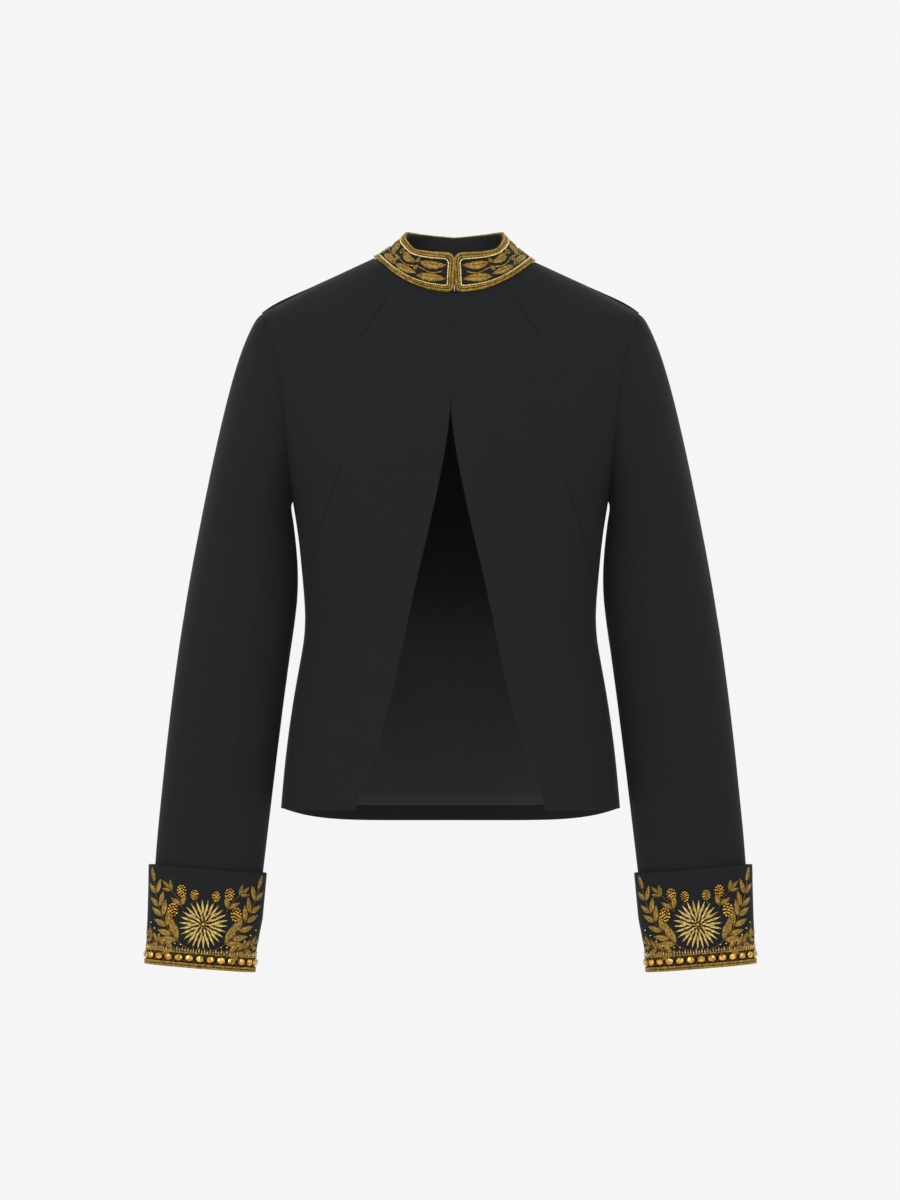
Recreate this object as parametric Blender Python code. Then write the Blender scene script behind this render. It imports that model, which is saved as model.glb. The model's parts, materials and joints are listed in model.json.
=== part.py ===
"""Cutaway jacket: its cut pieces as thin closed walls, filled out and hollow.

Metres, +Z up, front towards -Y. The origin is in the middle of the neck at the height of the inner
shoulder seams. Left and right are the wearer's own, so the right side lies at -X.
"""

import math

import bmesh
import bpy
import numpy as np

MM = 0.001

# Cloth walls and the gaps between pieces
CLOTH_WALL = 2.0 * MM
COLLAR_WALL = 2.4 * MM
CUFF_WALL = 2.2 * MM
LINING_WALL = 1.0 * MM
SEAM_GAP = 0.34 * MM
LINING_GAP = 0.45 * MM

# Main heights, from the origin
HEM_FRONT = -546.0 * MM
HEM_BACK = -560.5 * MM
HEM_FACING = 15.5 * MM
UNDERARM = -240.0 * MM
SHOULDER_TIP = -50.6 * MM
SLIT_TOP = -146.0 * MM
NECK_FRONT = -32.5 * MM
NECK_BACK = -12.0 * MM
PRINCESS_TOP = -24.0 * MM

# The neck stands a little to the wearer's left of the body's middle
NECK_SHIFT = 3.9 * MM
NECK_HALF_WIDTH = 80.2 * MM
NECKLINE_POWER = 2.3
SECTION_POWER = 2.2

# Torso sections in mm: height, half width, depth in front of the side seam, depth behind it
TORSO_ROWS = (
    (16.0, 52.0, 46.0, 44.0),
    (2.0, 80.2, 54.0, 52.0),
    (-22.0, 132.5, 58.5, 60.0),
    (-46.0, 182.5, 66.0, 71.0),
    (-56.0, 193.5, 70.0, 76.0),
    (-75.0, 199.0, 78.0, 83.0),
    (-105.0, 200.0, 90.0, 93.0),
    (-145.0, 194.5, 103.0, 100.0),
    (-180.0, 185.0, 110.5, 103.0),
    (-208.0, 172.0, 114.0, 102.5),
    (-228.0, 161.5, 115.0, 101.5),
    (-244.0, 156.8, 114.0, 100.0),
    (-287.0, 150.5, 108.0, 94.0),
    (-328.0, 147.3, 98.0, 88.0),
    (-360.0, 144.2, 93.0, 86.0),
    (-388.0, 148.3, 94.0, 88.5),
    (-428.0, 155.5, 98.0, 95.0),
    (-488.0, 164.2, 105.0, 105.0),
    (-546.0, 169.6, 112.0, 114.0),
    (-566.0, 171.0, 114.0, 117.0),
)
# Armhole seam in mm: height and distance from the middle, down to the underarm
ARMHOLE_ROWS = (
    (-50.6, 188.2),
    (-66.0, 185.0),
    (-74.0, 180.7),
    (-93.0, 173.8),
    (-111.0, 170.5),
    (-136.0, 167.6),
    (-175.0, 164.4),
    (-210.0, 161.0),
    (-240.0, 157.6),
)
# Cutaway front edge in mm: height and distance from the middle
CUTAWAY_ROWS = (
    (-546.0, 95.0),
    (-427.0, 57.0),
    (-345.0, 40.0),
    (-238.0, 15.0),
    (-168.0, 2.2),
    (-146.0, 0.0),
)
# Princess seam of the back in mm: height and distance from the middle
PRINCESS_ROWS = (
    (-562.0, 50.5),
    (-480.0, 47.0),
    (-360.0, 46.0),
    (-240.0, 66.0),
    (-130.0, 96.0),
    (-60.0, 120.0),
    (-24.0, 136.0),
)
# Sleeve sections in mm: height, outer and inner distance from the middle, depth, how far the middle
# stands back, rise of the outer side against the inner, and the front and back seams in degrees from
# the outer side
SLEEVE_ROWS = (
    (-262.0, 250.5, 156.6, 116.0, 4.0, 0.0, 128.0, 112.0),
    (-298.0, 257.5, 152.2, 111.0, 6.0, 0.0, 118.0, 108.0),
    (-338.0, 264.5, 151.6, 105.0, 7.0, 0.0, 109.0, 106.0),
    (-388.0, 272.5, 159.6, 97.0, 6.0, 0.5, 107.0, 105.0),
    (-438.0, 278.5, 166.2, 91.0, 3.0, 1.5, 106.5, 105.0),
    (-488.0, 284.5, 172.6, 84.0, -2.0, 3.0, 106.5, 105.0),
    (-538.0, 289.2, 178.6, 77.0, -8.0, 5.0, 107.0, 105.0),
    (-588.0, 294.2, 184.6, 70.0, -15.0, 7.5, 109.0, 105.0),
    (-645.0, 297.0, 191.2, 64.0, -22.0, 8.5, 110.0, 105.0),
    (-702.1, 299.0, 200.6, 58.0, -28.3, 8.6, 111.0, 105.0),
)
# Cuff sections in mm, bottom to top: height, outer and inner distance, depth, how far the middle
# stands back
CUFF_ROWS = (
    (-704.6, 303.4, 196.4, 66.0, -28.6),
    (-680.0, 303.2, 193.0, 69.0, -26.4),
    (-652.0, 302.2, 187.4, 72.0, -22.6),
    (-625.0, 301.6, 184.9, 75.0, -19.2),
    (-606.0, 301.4, 183.2, 77.0, -16.8),
)
CUFF_RISE = 8.6 * MM
CUFF_LIP = 5.4 * MM
CUFF_LIP_HEIGHT = 2.2 * MM
CUFF_HEIGHT = 98.6 * MM

# Sleeve head: where the two sleeve seams meet the armhole in degrees from the shoulder, the stages
# of each path down the cap, and how it leaves the armhole
CAP_SEAMS = (135.0, 112.5)
CAP_STEPS = (0.0, 0.07, 0.18, 0.33, 0.5, 0.68, 0.85)
CAP_LEAVE_TOP = (1.0, -0.08)
CAP_LEAVE_BOTTOM = (0.34, -0.94)
CAP_LEAVE_SIDEWAYS = 0.42

# Collar band in mm: degrees from the front, height of its top edge
COLLAR_TOP_ROWS = (
    (0.0, 7.0),
    (35.0, 8.6),
    (55.0, 11.0),
    (75.0, 18.5),
    (92.0, 25.5),
    (112.0, 29.3),
    (145.0, 28.0),
    (180.0, 25.6),
)
COLLAR_TOP_HALF_WIDTH = 48.2 * MM
COLLAR_TOP_FRONT = 51.0 * MM
COLLAR_TOP_BACK = 45.0 * MM
COLLAR_BOW = 1.2 * MM
COLLAR_END_GAP = 1.0 * MM
COLLAR_CORNER = 9.0 * MM
COLLAR_HEIGHT = 39.5 * MM
COLLAR_CORD = 6.6 * MM

# Goldwork relief
CORD_RISE = 1.5 * MM
LEAF_RISE = 1.3 * MM
BEAD_RISE = 2.6 * MM
BEAD_PITCH = 7.6 * MM
BEAD_LINE = 8.4 * MM
ROSETTE_RISE = 2.0 * MM

# Collar leaves in mm on the band: distance of the middle from the front edge, height above the base
# edge, length, width, and turn in degrees from level
COLLAR_LEAVES = (
    (21.0, 26.5, 27.0, 8.0, -6.0),
    (21.5, 14.0, 27.0, 8.5, 7.0),
    (47.0, 26.5, 25.0, 8.0, -22.0),
    (48.0, 14.0, 25.0, 9.0, 14.0),
    (73.0, 26.0, 24.0, 8.0, -24.0),
    (74.0, 13.5, 24.0, 9.0, 20.0),
    (99.0, 26.0, 24.0, 8.0, -22.0),
    (100.0, 13.5, 24.0, 9.0, 18.0),
    (125.0, 26.0, 24.0, 8.0, -22.0),
    (126.0, 13.5, 24.0, 9.0, 18.0),
    (151.0, 26.0, 24.0, 8.0, -20.0),
    (152.0, 13.5, 24.0, 9.0, 16.0),
)
# Cuff leaves in mm: distance along the cuff from the middle of a rosette, height, length, width, turn
CUFF_LEAVES = (
    (30.0, 30.0, 22.0, 7.0, 35.0),
    (43.0, 24.0, 22.0, 7.0, -32.0),
    (48.0, 42.0, 22.0, 7.0, 40.0),
    (61.0, 35.0, 22.0, 7.0, -28.0),
    (66.0, 54.0, 22.0, 7.0, 48.0),
)
ROSETTE_HEIGHT = 44.0 * MM
ROSETTE_RADIUS = 22.0 * MM
ROSETTE_PETALS = 12

# Hook and eye
WIRE_RADIUS = 0.55 * MM
EYE_RADIUS = 1.9 * MM
EYE_HEIGHT = -26.0 * MM
HOOK_HEIGHT = -22.4 * MM

# How finely each wall is divided
FRONT_COLUMNS = 9
CENTRE_BACK_COLUMNS = 6
SIDE_BACK_COLUMNS = 6
LINING_SIDE_COLUMNS = 4
LINING_ROWS = 15
BODY_ROWS = (4, 3, 3)
ARMHOLE_STEPS = 8
TOP_SLEEVE_COLUMNS = 22
UNDER_SLEEVE_COLUMNS = 10
CUFF_COLUMNS = 60
COLLAR_COLUMNS = 36

# Finishes: colour, roughness, metallic
FINISHES = {
    "cloth": ((0.0185, 0.0195, 0.0205), 0.8, 0.0),
    "lining": ((0.021, 0.0205, 0.023), 0.45, 0.0),
    "goldwork": ((0.36, 0.22, 0.045), 0.38, 0.9),
    "hook_metal": ((0.55, 0.55, 0.54), 0.3, 1.0),
}


def clear_scene():
    for item in list(bpy.data.objects):
        bpy.data.objects.remove(item, do_unlink=True)


def make_material(name):
    colour, roughness, metallic = FINISHES[name]
    material = bpy.data.materials.new(name)
    material.use_nodes = True
    shader = material.node_tree.nodes["Principled BSDF"]
    shader.inputs["Base Color"].default_value = (*colour, 1.0)
    shader.inputs["Roughness"].default_value = roughness
    shader.inputs["Metallic"].default_value = metallic
    return material


def smooth_rule(places, values):
    """A smooth curve through a table's rows that never swings past them."""
    order = np.argsort(places)
    at, to = np.asarray(places, float)[order], np.asarray(values, float)[order]
    step = np.diff(at)
    slope = np.diff(to) / step
    lean = np.empty(len(at))
    lean[0], lean[-1] = slope[0], slope[-1]
    for i in range(1, len(at) - 1):
        if slope[i - 1] * slope[i] <= 0.0:
            lean[i] = 0.0
            continue
        near, far = 2 * step[i] + step[i - 1], step[i] + 2 * step[i - 1]
        lean[i] = (near + far) / (near / slope[i - 1] + far / slope[i])

    def rule(place):
        spot = min(max(place, at[0]), at[-1])
        i = min(int(np.searchsorted(at, spot, side="right")) - 1, len(at) - 2)
        u = (spot - at[i]) / step[i]
        start = (1 + 2 * u) * (1 - u) ** 2 * to[i] + u * (1 - u) ** 2 * step[i] * lean[i]
        end = u * u * (3 - 2 * u) * to[i + 1] + u * u * (u - 1) * step[i] * lean[i + 1]
        return float(start + end)

    return rule


def table_rules(rows, scale=MM):
    """One smooth rule for each column after the first, which holds the place; table lengths are in mm."""
    columns = np.array(rows, float).T
    return [smooth_rule(columns[0] * scale, column * scale) for column in columns[1:]]


HALF_WIDTH, FRONT_DEPTH, BACK_DEPTH = table_rules(TORSO_ROWS)
(ARMHOLE_AT,) = table_rules(ARMHOLE_ROWS)
(CUTAWAY_AT,) = table_rules(CUTAWAY_ROWS)
(PRINCESS_AT,) = table_rules(PRINCESS_ROWS)


def oval(angle, power=SECTION_POWER):
    """Sine-like and cosine-like parts of a slightly squared oval, from the angle in radians."""
    across, along = math.sin(angle), math.cos(angle)
    reach = (abs(across) ** power + abs(along) ** power) ** (-1.0 / power)
    return reach * across, reach * along


def torso_point(turn, height, side, face):
    """A point of the body. Turn runs from 0 at the middle to a right angle at the side seam."""
    across, along = oval(turn)
    depth = FRONT_DEPTH(height) if face == "front" else BACK_DEPTH(height)
    forward = -1.0 if face == "front" else 1.0
    return np.array((side * HALF_WIDTH(height) * across, forward * depth * along, height))


def torso_normal(turn, height, side, face):
    small_turn, small_height = 0.004, 0.4 * MM
    back, ahead = (torso_point(turn + s * small_turn, height, side, face) for s in (-1, 1))
    below, above = (torso_point(turn, height + s * small_height, side, face) for s in (-1, 1))
    normal = np.cross(ahead - back, above - below)
    normal /= np.linalg.norm(normal)
    outward = torso_point(turn, height, side, face) * np.array((1.0, 1.0, 0.0))
    return normal if normal @ outward > 0 else -normal


def turn_at(distance, height):
    """The turn at which the body's surface lies at a distance from the middle."""
    share = min(max(distance / HALF_WIDTH(height), -1.0), 1.0)
    along = (1.0 - abs(share) ** SECTION_POWER) ** (1.0 / SECTION_POWER)
    return math.atan2(share, along)


def shoulder_height(distance):
    """The height of the shoulder seam at a distance from the middle."""
    low, high = SHOULDER_TIP, 14.0 * MM
    for _ in range(40):
        middle = 0.5 * (low + high)
        if HALF_WIDTH(middle) > distance:
            low = middle
        else:
            high = middle
    return 0.5 * (low + high)


def centre_line(height):
    """How far the line where the fronts meet stands off the middle, towards the neck."""
    share = min(max((height - SLIT_TOP) / (NECK_FRONT - SLIT_TOP), 0.0), 1.0)
    return NECK_SHIFT * share * share * (3 - 2 * share)


def front_edge(height, side):
    """Turn of the front's inner edge: the meeting line, then the cutaway below it."""
    distance = side * centre_line(height)
    if height < SLIT_TOP:
        distance = CUTAWAY_AT(height)
    return turn_at(distance, height), height


def armhole(height):
    """Turn of the body's outer edge: the side seam, and the armhole above it."""
    if height <= UNDERARM + 0.01 * MM or height >= SHOULDER_TIP - 0.01 * MM:
        return math.pi / 2, height
    return turn_at(ARMHOLE_AT(height), height), height


def neck_half_width(side):
    return NECK_HALF_WIDTH + side * NECK_SHIFT


def neckline(share, side, face):
    """Turn and height along half the neckline, from its middle to the shoulder seam."""
    wide = neck_half_width(side)
    low = NECK_FRONT if face == "front" else NECK_BACK
    high = shoulder_height(wide)
    start = side * NECK_SHIFT
    distance = start + (wide - start) * math.sin(share * math.pi / 2)
    reach = (distance - start) / (wide - start)
    height = low + (high - low) * reach**NECKLINE_POWER
    if share >= 1.0:
        return math.pi / 2, high
    return turn_at(distance, height), height


def divide(stops, counts):
    """Places between stops, each stretch divided evenly."""
    places = [stops[0]]
    for start, end, count in zip(stops, stops[1:], counts):
        places += [start + (end - start) * (i + 1) / count for i in range(count)]
    return places


def patch(bottom, top, inner, outer):
    """Fills four edges of turn and height pairs with a grid, rows from bottom to top."""
    bottom, top, inner, outer = (np.array(edge, float) for edge in (bottom, top, inner, outer))
    rows, columns = len(inner), len(bottom)
    grid = np.empty((rows, columns, 2))
    for j in range(rows):
        v = j / (rows - 1)
        for i in range(columns):
            u = i / (columns - 1)
            sides = (1 - u) * inner[j] + u * outer[j]
            ends = (1 - v) * bottom[i] + v * top[i]
            corners = (1 - u) * (1 - v) * bottom[0] + u * (1 - v) * bottom[-1]
            corners = corners + (1 - u) * v * top[0] + u * v * top[-1]
            grid[j, i] = sides + ends - corners
    return grid


def torso_grid(places, side, face):
    points = np.array([[torso_point(t, z, side, face) for t, z in row] for row in places])
    normals = np.array([[torso_normal(t, z, side, face) for t, z in row] for row in places])
    return points, normals


def inward_steps(edge, inside):
    """Unit steps from an edge into its panel, square to the edge."""
    along = np.gradient(edge, axis=0)
    along /= np.linalg.norm(along, axis=1, keepdims=True)
    step = inside - edge
    step -= along * np.sum(step * along, axis=1, keepdims=True)
    return step / np.linalg.norm(step, axis=1, keepdims=True)


def pull_in(points, gap=SEAM_GAP / 2):
    """Draws a grid's four edges in along its surface, so that neighbours stand a gap apart."""
    moved = points.copy()
    for edge, inside in ((0, 1), (-1, -2)):
        moved[edge] += gap * inward_steps(points[edge], points[inside])
        moved[:, edge] += gap * inward_steps(points[:, edge], points[:, inside])
    return moved


def grid_normals(points, around=False):
    """Normals of a grid from its neighbouring points, for walls that aren't on the body."""
    if around:
        along = np.roll(points, -1, axis=1) - np.roll(points, 1, axis=1)
    else:
        along = np.gradient(points, axis=1)
    normals = np.cross(along, np.gradient(points, axis=0))
    return normals / np.linalg.norm(normals, axis=2, keepdims=True)


def join_rows(mesh, lower, upper, around):
    count = len(lower)
    for i in range(count if around else count - 1):
        k = (i + 1) % count
        mesh.faces.new((lower[i], lower[k], upper[k], upper[i]))


def wall(name, material, outer, inner, around=False):
    """A closed wall between an outer and an inner grid that share their columns."""
    mesh = bmesh.new()
    skins = [[[mesh.verts.new(p) for p in row] for row in grid] for grid in (outer, inner)]
    for skin in skins:
        for lower, upper in zip(skin, skin[1:]):
            join_rows(mesh, lower, upper, around)
    for end in (0, -1):
        join_rows(mesh, skins[0][end], skins[1][end], around)
    if not around:
        for end in (0, -1):
            outside = [row[end] for row in skins[0]]
            inside = [row[end] for row in skins[1]]
            if len(outside) == len(inside):
                join_rows(mesh, outside, inside, False)
            else:
                mesh.faces.new(outside + inside[::-1])
    return finish_object(name, material, mesh)


def finish_object(name, material, mesh):
    bmesh.ops.recalc_face_normals(mesh, faces=mesh.faces)
    data = bpy.data.meshes.new(name)
    mesh.to_mesh(data)
    mesh.free()
    data.materials.append(material)
    data.shade_smooth()
    data.set_sharp_from_angle(angle=math.radians(38))
    item = bpy.data.objects.new(name, data)
    bpy.context.collection.objects.link(item)
    return item


def build_panel(name, material, places, side, face):
    points, normals = torso_grid(places, side, face)
    outer = pull_in(points)
    return wall(name, material, outer, outer - CLOTH_WALL * normals)


def side_name(side):
    return "left" if side > 0 else "right"


def side_edge():
    """Turn and height along the side seam and up the armhole to the shoulder's tip."""
    heights = divide((HEM_FRONT, -430 * MM, -345 * MM, UNDERARM), BODY_ROWS)
    heights += [armhole_height(math.pi * (1 - k / ARMHOLE_STEPS)) for k in range(1, ARMHOLE_STEPS + 1)]
    return [armhole(z) for z in heights]


def build_front(side, material):
    """One front: cutaway edge, hem, side seam, armhole, shoulder and neckline."""
    counts = (*BODY_ROWS, ARMHOLE_STEPS // 2, ARMHOLE_STEPS // 2, 2)
    stops = (HEM_FRONT, -430 * MM, -330 * MM, -240 * MM, SLIT_TOP, -62 * MM, NECK_FRONT)
    rise = shoulder_height(neck_half_width(side))
    inner = [front_edge(z, side) for z in divide(stops, counts)]
    outer = side_edge() + [(math.pi / 2, z) for z in divide((SHOULDER_TIP, rise), (2,))[1:]]
    shares = [i / FRONT_COLUMNS for i in range(FRONT_COLUMNS + 1)]
    start = inner[0][0]
    bottom = [(start + (math.pi / 2 - start) * s, HEM_FRONT) for s in shares]
    top = [neckline(s, side, "front") for s in shares]
    places = patch(bottom, top, inner, outer)
    return build_panel(f"front_{side_name(side)}", material, places, side, "front")


def hem_back(turn):
    """The back hem dips in the middle and meets the front hem at the side seam."""
    share = oval(turn)[0]
    return HEM_BACK + (HEM_FRONT - HEM_BACK) * share**6


def princess_edge():
    """Turn and height up the princess seam, from the hem to the shoulder seam."""
    blade = -130 * MM
    half = ARMHOLE_STEPS // 2
    heights = divide((HEM_BACK, -430 * MM, -330 * MM, -240 * MM, blade), (*BODY_ROWS, half))
    rise = PRINCESS_TOP - blade
    heights += [blade + rise * math.sin(math.pi / 2 * k / half) for k in range(1, half + 1)]
    edge = [(turn_at(PRINCESS_AT(z), z), z) for z in heights]
    edge[0] = (edge[0][0], hem_back(edge[0][0]))
    edge[-1] = (math.pi / 2, PRINCESS_TOP)
    return edge


def centre_back_places(side):
    counts = (*BODY_ROWS, ARMHOLE_STEPS // 2, ARMHOLE_STEPS // 2, 2)
    stops = (HEM_BACK, -430 * MM, -330 * MM, -240 * MM, -112 * MM, -21 * MM, NECK_BACK)
    rise = shoulder_height(neck_half_width(side))
    inner = [(turn_at(side * centre_line(z), z), z) for z in divide(stops, counts)]
    outer = princess_edge() + [(math.pi / 2, z) for z in divide((PRINCESS_TOP, rise), (2,))[1:]]
    shares = [i / CENTRE_BACK_COLUMNS for i in range(CENTRE_BACK_COLUMNS + 1)]
    bottom = [(outer[0][0] * s, hem_back(outer[0][0] * s)) for s in shares]
    top = [neckline(s, side, "back") for s in shares]
    return patch(bottom, top, inner, outer)


def side_back_places():
    inner, outer = princess_edge(), side_edge()
    shares = [i / SIDE_BACK_COLUMNS for i in range(SIDE_BACK_COLUMNS + 1)]
    turns = [inner[0][0] + (math.pi / 2 - inner[0][0]) * s for s in shares]
    bottom = [(turn, hem_back(turn)) for turn in turns]
    top = [(math.pi / 2, PRINCESS_TOP + (SHOULDER_TIP - PRINCESS_TOP) * s) for s in shares]
    return patch(bottom, top, inner, outer)


def build_back(side, material):
    name = side_name(side)
    centre, outside = centre_back_places(side), side_back_places()
    build_panel(f"back_centre_{name}", material, centre, side, "back")
    build_panel(f"back_side_{name}", material, outside, side, "back")


def build_lining(side, material):
    """Back lining, made from the back's own points moved in: it ends above the hem facing."""
    centre, outside = centre_back_places(side), side_back_places()
    rows = LINING_ROWS
    places = np.concatenate((centre[:rows], outside[:rows, 1 : LINING_SIDE_COLUMNS + 1]), axis=1)
    points, normals = torso_grid(places, side, "back")
    outer = pull_in(points) - (CLOTH_WALL + LINING_GAP) * normals
    lift = HEM_FACING / (outer[1, :, 2] - outer[0, :, 2])
    outer[0] += lift[:, None] * (outer[1] - outer[0])
    return wall(f"lining_{side_name(side)}", material, outer, outer - LINING_WALL * normals)


def armhole_height(turn):
    middle, reach = (SHOULDER_TIP + UNDERARM) / 2, (SHOULDER_TIP - UNDERARM) / 2
    return middle + reach * math.cos(turn)


def armhole_loop(turn):
    """A point of the armhole seam; the turn is 0 at the shoulder and half a circle at the underarm.

    It runs straight between the corners of the body panels' own edges.
    """
    turn = (turn + math.pi) % (2 * math.pi) - math.pi
    face = "front" if turn >= 0 else "back"
    place = abs(turn) / math.pi * ARMHOLE_STEPS
    before = min(int(place), ARMHOLE_STEPS - 1)
    corners = []
    for step in (before, before + 1):
        height = armhole_height(math.pi * step / ARMHOLE_STEPS)
        corners.append(torso_point(armhole(height)[0], height, 1.0, face))
    return corners[0] + (corners[1] - corners[0]) * (place - before)


def sleeve_start(turn):
    """The armhole seam moved off the body's edge, along the body, by the seam gap."""
    small = 0.01
    point = armhole_loop(turn)
    along = armhole_loop(turn + small) - armhole_loop(turn - small)
    middle = np.array((173 * MM, 0.0, -145 * MM))
    inward = middle - point
    inward -= along * (inward @ along) / (along @ along)
    return point + SEAM_GAP * 1.5 * inward / np.linalg.norm(inward)


def tube_point(turn, row):
    """A point of a sleeve or cuff section; the turn is 0 on the outer side and grows to the front."""
    height, outer, inner, depth, back, rise = (value * MM for value in row[:6])
    along, across = oval(turn)[1], oval(turn)[0]
    half = (outer - inner) / 2
    return np.array(
        (
            (outer + inner) / 2 + half * along,
            back - depth / 2 * across,
            height + rise / 2 * along,
        )
    )


def cap_point(turn, step):
    """A point of the sleeve head: a curve from the armhole down to the first full section."""
    start, end = sleeve_start(turn), tube_point(turn, SLEEVE_ROWS[0])
    onward = tube_point(turn, SLEEVE_ROWS[1]) - end
    onward /= np.linalg.norm(onward)
    low = (1 - math.cos(turn)) / 2
    leave = np.array(
        (
            CAP_LEAVE_TOP[0] * (1 - low) + CAP_LEAVE_BOTTOM[0] * low,
            -CAP_LEAVE_SIDEWAYS * math.sin(turn),
            CAP_LEAVE_TOP[1] * (1 - low) + CAP_LEAVE_BOTTOM[1] * low,
        )
    )
    leave /= np.linalg.norm(leave)
    length = np.linalg.norm(end - start)
    first = start + length * (0.085 + 0.24 * low) * leave
    second = end - length * (0.47 - 0.14 * low) * onward
    u, w = step, 1 - step
    return w**3 * start + 3 * w * w * u * first + 3 * w * u * u * second + u**3 * end


def sleeve_rows():
    """Every row of the sleeve as a function of the turn, with its two seams in radians."""
    rows = []
    for step in CAP_STEPS:
        seams = [math.radians(a + (b - a) * step) for a, b in zip(CAP_SEAMS, SLEEVE_ROWS[0][6:])]
        rows.append((lambda turn, step=step: cap_point(turn, step), *seams))
    for row in SLEEVE_ROWS:
        seams = math.radians(row[6]), math.radians(row[7])
        rows.append((lambda turn, row=row: tube_point(turn, row), *seams))
    return rows


def build_sleeve_piece(name, material, side, columns, spans):
    """One piece of a sleeve between two seams; spans gives its first and last turn on each row."""
    points, around = [], []
    small = 0.01
    for (place, front, back), span in zip(sleeve_rows(), spans):
        first, last = span(front, back)
        turns = [first + (last - first) * i / columns for i in range(columns + 1)]
        points.append([place(turn) for turn in turns])
        around.append([place(turn + small) - place(turn - small) for turn in turns])
    points = np.array(points)
    normals = np.cross(np.array(around), np.gradient(points, axis=0))
    normals /= np.linalg.norm(normals, axis=2, keepdims=True)
    if normals[-1, columns // 2] @ (points[-1, columns // 2] - points[-1].mean(axis=0)) < 0:
        normals = -normals
    outer = pull_in(points)
    inner = outer - CLOTH_WALL * normals
    mirror = np.array((side, 1.0, 1.0))
    return wall(name, material, outer * mirror, inner * mirror)


def build_sleeve(side, material):
    rows = len(CAP_STEPS) + len(SLEEVE_ROWS)
    over = [lambda front, back: (-back, front)] * rows
    under = [lambda front, back: (front, 2 * math.pi - back)] * rows
    name = side_name(side)
    return (
        build_sleeve_piece(f"top_sleeve_{name}", material, side, TOP_SLEEVE_COLUMNS, over),
        build_sleeve_piece(f"under_sleeve_{name}", material, side, UNDER_SLEEVE_COLUMNS, under),
    )


def leaf_rise(along, up, leaves):
    """Height of the leaf relief at a place on a band, in metres."""
    best = 0.0
    for middle, height, length, width, turn in leaves:
        angle = math.radians(turn)
        dx, dy = along - middle * MM, up - height * MM
        long = (dx * math.cos(angle) + dy * math.sin(angle)) / (length * MM / 2)
        wide = (-dx * math.sin(angle) + dy * math.cos(angle)) / (width * MM / 2)
        best = max(best, 1.0 - long * long - wide * wide)
    return LEAF_RISE * min(1.0, 2.0 * best)


def cord_rise(distance, width):
    """A rounded cord of a width that lies along an edge, by the distance from that edge."""
    if distance >= width or distance < 0.0:
        return 0.0
    return CORD_RISE * math.sin(math.pi * min(distance / width, 1.0)) ** 0.5


def cuff_rise(along, up, around_length):
    """Relief of the cuff at a place: corded edge, bead row, then rosettes between leaf sprays."""
    if up < BEAD_LINE - BEAD_PITCH / 2:
        return cord_rise(up + 0.4 * MM, BEAD_LINE - BEAD_PITCH / 2 + 0.8 * MM)
    if up < BEAD_LINE + BEAD_PITCH / 2:
        count = round(around_length / BEAD_PITCH)
        swell = 0.5 + 0.5 * math.cos(2 * math.pi * count * along / around_length)
        level = math.cos(math.pi * (up - BEAD_LINE) / BEAD_PITCH)
        return BEAD_RISE * level * (0.25 + 0.75 * swell)
    half = around_length / 2
    near = (along + half / 2) % half - half / 2
    radius = math.hypot(near, up - ROSETTE_HEIGHT)
    if radius < ROSETTE_RADIUS:
        petal = math.cos(ROSETTE_PETALS * math.atan2(up - ROSETTE_HEIGHT, near))
        edge = min(1.0, 3.0 * (1.0 - radius / ROSETTE_RADIUS))
        return ROSETTE_RISE * edge * (0.75 + 0.25 * petal)
    return leaf_rise(abs(near), up, CUFF_LEAVES)


def build_cuff(side, material):
    """Turned-back cuff: a tube round the sleeve end with a lip turned in under it."""
    rules = table_rules(CUFF_ROWS)
    bottom, top = CUFF_ROWS[0][0] * MM, CUFF_ROWS[-1][0] * MM

    def section(height, shrink, turn):
        outer, inner, depth, back = (rule(height) for rule in rules)
        row = [value / MM for value in (height, outer - shrink, inner + shrink)]
        row += [(depth - 2 * shrink) / MM, back / MM, CUFF_RISE / MM]
        return tube_point(turn, row)

    turns = [2 * math.pi * i / CUFF_COLUMNS for i in range(CUFF_COLUMNS)]
    edge = BEAD_LINE - BEAD_PITCH / 2
    ups = [0.0, 0.35 * edge, edge, BEAD_LINE - 2.2 * MM, BEAD_LINE, BEAD_LINE + 2.2 * MM]
    ups += divide((edge + BEAD_PITCH, 68 * MM, CUFF_HEIGHT), (8, 1))
    middle = [section(bottom + 0.4 * CUFF_HEIGHT, 0.0, turn) for turn in turns]
    steps = [np.linalg.norm(b - a) for a, b in zip(middle, middle[1:] + middle[:1])]
    around_length = sum(steps)
    front = CUFF_COLUMNS // 4
    alongs = np.cumsum([0.0] + steps[:-1])
    alongs = alongs - alongs[front]
    outer = []
    for up in ups:
        height = bottom + (top - bottom) * up / CUFF_HEIGHT
        outer.append([section(height, 0.0, turn) for turn in turns])
    outer = np.array(outer)
    normals = grid_normals(outer, around=True)
    if normals[5, 0, 0] < 0:
        normals = -normals
    rises = [[cuff_rise(along, up, around_length) for along in alongs] for up in ups]
    outer = outer + np.array(rises)[:, :, None] * normals
    inner = [
        [section(bottom, CUFF_LIP, turn) for turn in turns],
        [section(bottom + CUFF_LIP_HEIGHT, CUFF_LIP, turn) for turn in turns],
        [section(bottom + CUFF_LIP_HEIGHT, CUFF_WALL, turn) for turn in turns],
        [section(0.5 * (bottom + top), CUFF_WALL, turn) for turn in turns],
        [section(top, CUFF_WALL, turn) for turn in turns],
    ]
    mirror = np.array((side, 1.0, 1.0))
    name = f"cuff_{side_name(side)}"
    return wall(name, material, outer * mirror, np.array(inner) * mirror, around=True)


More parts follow.
